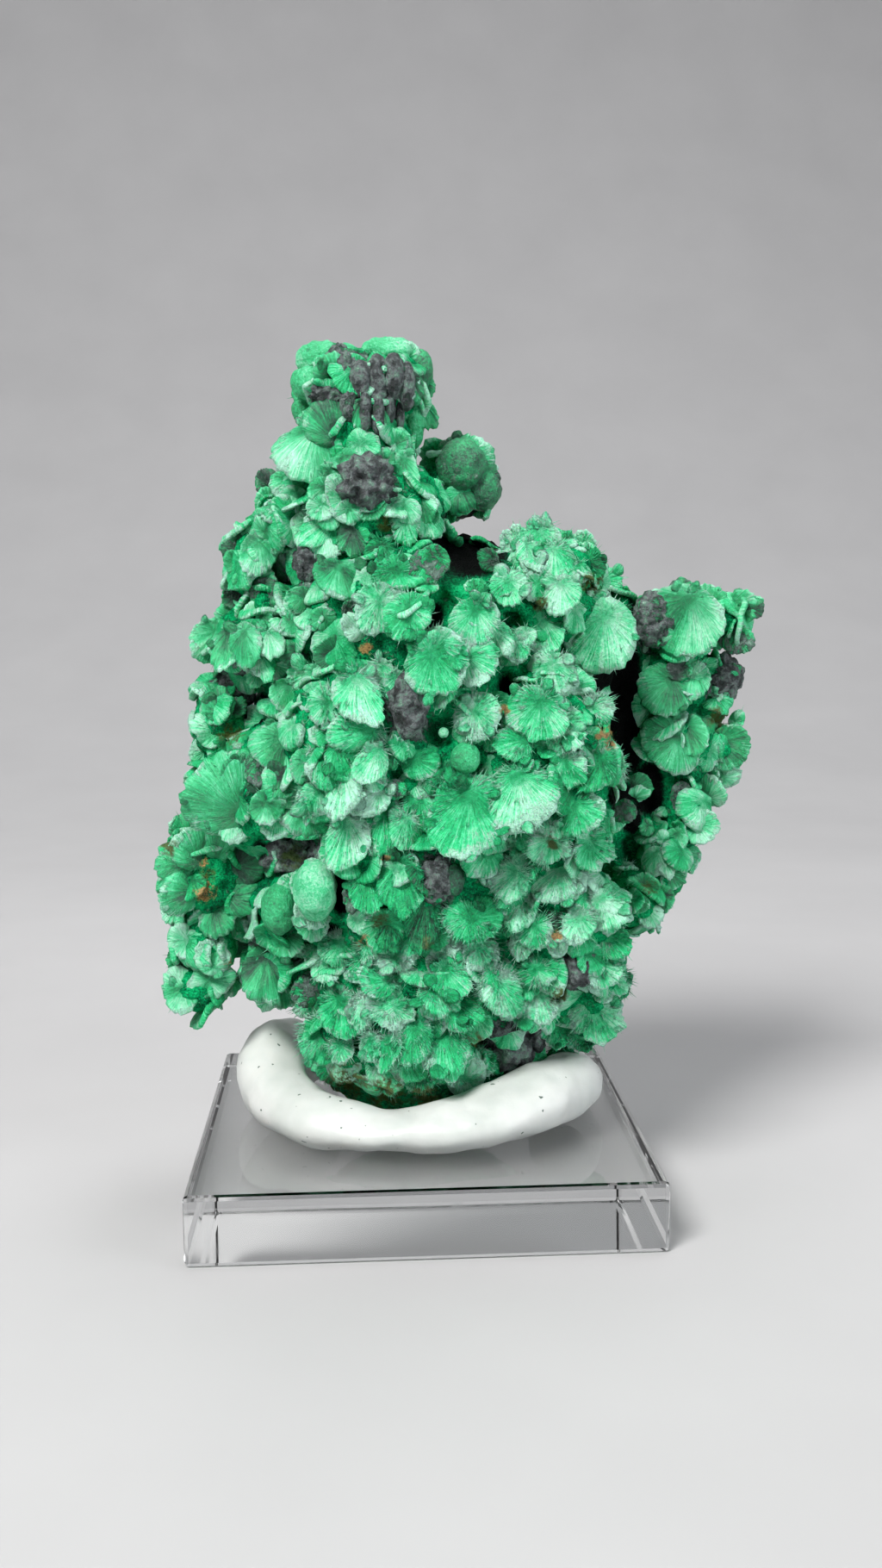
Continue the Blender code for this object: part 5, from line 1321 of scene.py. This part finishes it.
# %% [markdown]
# ## Crusty knobs and smooth pebbles
#
# Here and there the green is covered by a dark grey-black crust, under the peak stand grey columns side
# by side, and a few drop-like pebbles are smooth. Each is a ball, stretched and turned to face the sight
# line, with a displacement that makes it lumpy. A pebble's row reads like a knob's.

# %% Knobs
PEBBLES = [
    (-12.8, 25.6, 1.6, 2.3, 1.7, 0.52, 0), (-9.4, 27.3, 1.9, 2.7, 1.6, 0.76, 0),
    (3.6, 28, 0.9, 1.4, 0.8, 0.22, 0), (-7.9, 75.4, 2.3, 1.6, 0.2, 0.70, 0.2),
    (-8.6, 73.3, 2.1, 1.6, 0.5, 0.66, 0), (-1.9, 76.2, 2.5, 1.1, 0.4, 0.74, 0),
    (1, 74.2, 1.1, 2.1, 0, 0.40, 0.2), (0.4, 70, 0.9, 2.5, 0.8, 0.62, 0),
    (-9.4, 70.9, 1.3, 1.2, 0.2, 0.55, 0.1), (4.6, 66, 2.4, 2.4, 0.7, 0.34, 0.25),
    (6.4, 63.9, 1.8, 2.1, 0.6, 0.32, 0.25), (4.7, 39.4, 1.3, 1.3, 1.6, 0.58, 0),
    (2.7, 41.8, 0.45, 0.45, 1, 0.95, 0),
]


def knobs(name, entries, coarse, fine):
    balls = []
    for x, z, half_wide, half_high, lift, tone, crust in entries:
        way, across, upward = sight_frame(x, z)
        middle = first_surface(VIEW_POINT, way) - way * (lift - 0.8)
        deselect()
        bpy.ops.mesh.primitive_ico_sphere_add(subdivisions=4, radius=MM)
        ball = bpy.context.object
        columns = (across * half_wide, way * (0.5 * (half_wide + half_high)), upward * half_high, middle * MM)
        ball.matrix_world = Matrix([[column[i] for column in columns] for i in range(3)]
                                   + [[0.0, 0.0, 0.0, 1.0]])
        settle(ball)
        displace(ball, texture(name + "_lumps", 'CLOUDS', 0.9), coarse * half_wide)
        displace(ball, texture(name + "_grit", 'STUCCI', 0.25), fine)
        apply_modifiers(ball)
        dress(ball, tone, crust, 0.2)
        balls.append(ball)
    made = join(balls, name)
    report(made)
    return made


stone_pieces.append(knobs("crusty_knobs", KNOBS, 0.95, 0.35))
stone_pieces.append(knobs("columns", COLUMNS, 0.5, 0.12))
stone_pieces.append(knobs("smooth_pebbles", PEBBLES, 0.25, 0.03))
for piece in stone_pieces:
    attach(piece, BODY)
    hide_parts("malachite")
print("triangles in the stone", sum(len(face.vertices) - 2 for piece in stone_pieces
                                    for face in piece.data.polygons))

# %% [markdown]
# ## The putty
#
# The ring is a strip of tack rolled between the fingers and pressed down round the foot. A cylinder is
# cut across many times, and its sections are set along the strip's line, flat where they touch the
# acrylic. Two displacements leave the soft dents of fingertips and a faint grain.

# %% Putty shape
PUTTY_LINE = [
    (-8.0, 10.5, 2.2, 2.4), (-12.2, 7.5, 2.8, 3.6), (-13.8, 2.0, 3.0, 3.9), (-12.8, -3.6, 3.1, 3.0),
    (-9.0, -8.4, 3.1, 2.1), (-3.0, -10.7, 3.1, 1.8), (3.4, -10.5, 3.4, 2.1), (9.6, -8.0, 3.7, 2.9),
    (13.6, -3.0, 3.2, 3.1), (14.4, 2.6, 2.7, 2.5), (12.0, 7.8, 2.2, 2.0),
]
PUTTY_SIDES, PUTTY_STEPS, PUTTY_FLOOR, END_LENGTH = 28, 8, 6.04, 0.8


def smooth_line(points, steps):
    ends = [points[0]] + list(points) + [points[-1]]
    rows = []
    for i in range(1, len(ends) - 2):
        for s in range(steps):
            t = s / steps
            rows.append(tuple(0.5 * (2 * b + (c - a) * t + (2 * a - 5 * b + 4 * c - d) * t * t
                                     + (3 * b - a - 3 * c + d) * t ** 3)
                              for a, b, c, d in zip(ends[i - 1], ends[i], ends[i + 1], ends[i + 2])))
    return np.array(rows + [tuple(points[-1])])


rows = smooth_line(PUTTY_LINE, PUTTY_STEPS)
deselect()
bpy.ops.mesh.primitive_cylinder_add(vertices=PUTTY_SIDES, radius=1.0, depth=2.0, end_fill_type='TRIFAN')
putty = bpy.context.object
putty.name = "putty_ring"
bpy.ops.object.mode_set(mode='EDIT')
bm = bmesh.from_edit_mesh(putty.data)
for edge in bm.edges:
    edge.select_set(abs(edge.verts[0].co.z - edge.verts[1].co.z) > 1.0)
bmesh.update_edit_mesh(putty.data)
bpy.ops.mesh.select_mode(type='EDGE')
bpy.ops.mesh.subdivide(number_cuts=len(rows) - 2)
bpy.ops.object.mode_set(mode='OBJECT')

section = vertex_array(putty.data)
row = np.rint((section[:, 2] + 1.0) / 2.0 * (len(rows) - 1)).astype(int)
course = rows[np.minimum(row + 1, len(rows) - 1), :2] - rows[np.maximum(row - 1, 0), :2]
course /= np.linalg.norm(course, axis=1)[:, None]
from_end = np.minimum(row, len(rows) - 1 - row) / PUTTY_STEPS
taper = np.sqrt(np.clip(1.0 - (1.0 - np.minimum(from_end / END_LENGTH, 1.0)) ** 2, 0.03, 1.0))
aside = rows[row, 2] * taper * section[:, 0]
high = PUTTY_FLOOR + rows[row, 3] * (1.0 + taper * section[:, 1])
put_vertices(putty.data, np.column_stack([
    rows[row, 0] + course[:, 1] * aside, rows[row, 1] - course[:, 0] * aside,
    np.maximum(high, PUTTY_FLOOR)]) * MM)
pick(putty)
bpy.ops.object.mode_set(mode='EDIT')
bpy.ops.mesh.select_all(action='SELECT')
bpy.ops.mesh.normals_make_consistent(inside=False)
bpy.ops.object.mode_set(mode='OBJECT')
finer = putty.modifiers.new("finer", 'SUBSURF')
finer.levels = 1
displace(putty, texture("finger_dents", 'CLOUDS', 7.0), 1.3)
displace(putty, texture("tack_grain", 'CLOUDS', 2.4), 0.18)
apply_modifiers(putty)
spots = vertex_array(putty.data)
spots[:, 2] = np.maximum(spots[:, 2], PUTTY_FLOOR * MM)
put_vertices(putty.data, spots)
bpy.ops.object.shade_smooth()
report(putty)

# %% [markdown]
# ## The look of the putty
#
# Tack is matt and slightly waxy, and it picks up specks of dust and stone. Light enters it a little,
# which subsurface scattering imitates.

# %% Putty material
TACK, tree, shader = new_material("white_tack")
place = node(tree, 'ShaderNodeTexCoord').outputs["Object"]
clouds = noise(tree, place, 300.0, 3.0, 0.5)
tint = ramp(tree, clouds, [(0.3, (0.50, 0.535, 0.515)), (0.7, (0.60, 0.62, 0.605))])
specks = spread(tree, noise(tree, place, 1500.0, 1.0, 0.5), 0.735, 0.77)
tint = mix(tree, specks, tint, (0.10, 0.14, 0.12))
tree.links.new(tint, shader.inputs["Base Color"])
tree.links.new(spread(tree, clouds, 0.3, 0.7, 0.34, 0.50), shader.inputs["Roughness"])
shader.inputs["Subsurface Weight"].default_value = 0.35
shader.inputs["Subsurface Radius"].default_value = (1.0, 0.9, 0.8)
shader.inputs["Subsurface Scale"].default_value = 0.8 * MM
creases = noise(tree, place, 700.0, 3.0, 0.6)
tree.links.new(bump(tree, [(creases, 0.05), (noise(tree, place, 4000.0, 2.0, 0.6), 0.01)]),
               shader.inputs["Normal"])
putty.data.materials.clear()
putty.data.materials.append(TACK)
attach(putty, BODY)
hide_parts("mounting_putty")

# %% [markdown]
# ## The acrylic slab
#
# The slab's solid is already right: a square block with a small arris. It only needs its substance.
# Acrylic is clear, bends light with an index of 1.49, and swallows a trace of it. Fine scratches from
# handling make the surface's shine a little uneven.

# %% Acrylic material
ACRYLIC, tree, shader = new_material("clear_acrylic")
place = node(tree, 'ShaderNodeTexCoord').outputs["Object"]
shader.inputs["Base Color"].default_value = (0.985, 0.995, 0.99, 1.0)
shader.inputs["Transmission Weight"].default_value = 1.0
shader.inputs["IOR"].default_value = 1.49
scuffs = noise(tree, stretched(tree, place, (500.0, 90.0, 500.0)), 1.0, 4.0, 0.65)
tree.links.new(spread(tree, scuffs, 0.45, 0.8, 0.015, 0.07), shader.inputs["Roughness"])
tree.links.new(bump(tree, [(noise(tree, place, 60.0, 1.0, 0.5), 0.02)]), shader.inputs["Normal"])
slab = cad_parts["acrylic_base"]
slab.data.materials.clear()
slab.data.materials.append(ACRYLIC)

# %% [markdown]
# ## The floor
#
# The specimen stands on a pale sheet of paper that curves up behind it. The sheet lies a twentieth of a
# millimetre lower than the slab's underside, because two faces in one plane would show as dark blotches.

# %% Floor
deselect()
bpy.ops.mesh.primitive_plane_add(size=1.0, location=(0.0, 0.0, -0.05 * MM))
floor = bpy.context.object
floor.name = "pale_floor"
floor.scale = (2.4, 1.2, 1.0)
settle(floor)
bpy.ops.object.mode_set(mode='EDIT')
bm = bmesh.from_edit_mesh(floor.data)
for edge in bm.edges:
    edge.select_set(all(vert.co.y > 0.5 for vert in edge.verts))
bmesh.update_edit_mesh(floor.data)
bpy.ops.mesh.extrude_region_move(TRANSFORM_OT_translate={"value": (0.0, 0.0, 1.2)})
bm = bmesh.from_edit_mesh(floor.data)
for edge in bm.edges:
    edge.select_set(all(vert.co.y > 0.5 and vert.co.z < 0.1 for vert in edge.verts))
bmesh.update_edit_mesh(floor.data)
bpy.ops.mesh.bevel(offset=0.4, segments=24)
bpy.ops.object.mode_set(mode='OBJECT')
bpy.ops.object.shade_smooth()
PAPER, tree, shader = new_material("pale_paper")
place = node(tree, 'ShaderNodeTexCoord').outputs["Object"]
tint = ramp(tree, noise(tree, place, 30.0, 3.0, 0.5), [(0.3, (0.50, 0.50, 0.51)), (0.7, (0.53, 0.53, 0.54))])
tree.links.new(tint, shader.inputs["Base Color"])
shader.inputs["Roughness"].default_value = 0.8
floor.data.materials.append(PAPER)
report(floor)

# %% [markdown]
# ## The light
#
# One large soft light hangs in front, above and to the left, a weaker one fills from the right, and one
# behind and above draws the outline. A pale surrounding keeps the shadows open. The Standard view
# transform shows the greens as vivid as the materials state them.

# %% Light


def soft_light(name, place, aim, size, power, colour):
    data = bpy.data.lights.new(name, 'AREA')
    data.shape, data.size, data.energy, data.color = 'DISK', size, power, colour
    made = bpy.data.objects.new(name, data)
    bpy.context.scene.collection.objects.link(made)
    made.location = place
    made.rotation_mode = 'QUATERNION'
    made.rotation_quaternion = (Vector(aim) - Vector(place)).to_track_quat('-Z', 'Y')
    return made


soft_light("key", (-0.20, -0.30, 0.40), (0.0, 0.0, 0.04), 0.22, 4.1, (1.0, 0.985, 0.96))
soft_light("fill", (0.42, -0.25, 0.16), (0.0, 0.0, 0.04), 0.35, 1.6, (0.94, 0.97, 1.0))
soft_light("top", (0.05, 0.12, 0.50), (0.0, 0.0, 0.04), 0.30, 0.9, (1.0, 1.0, 1.0))
world = bpy.data.worlds.new("surrounding")
world.use_nodes = True
world.node_tree.nodes["Background"].inputs["Color"].default_value = (0.80, 0.82, 0.85, 1.0)
world.node_tree.nodes["Background"].inputs["Strength"].default_value = 0.32
bpy.context.scene.world = world
bpy.context.scene.view_settings.view_transform = 'Standard'
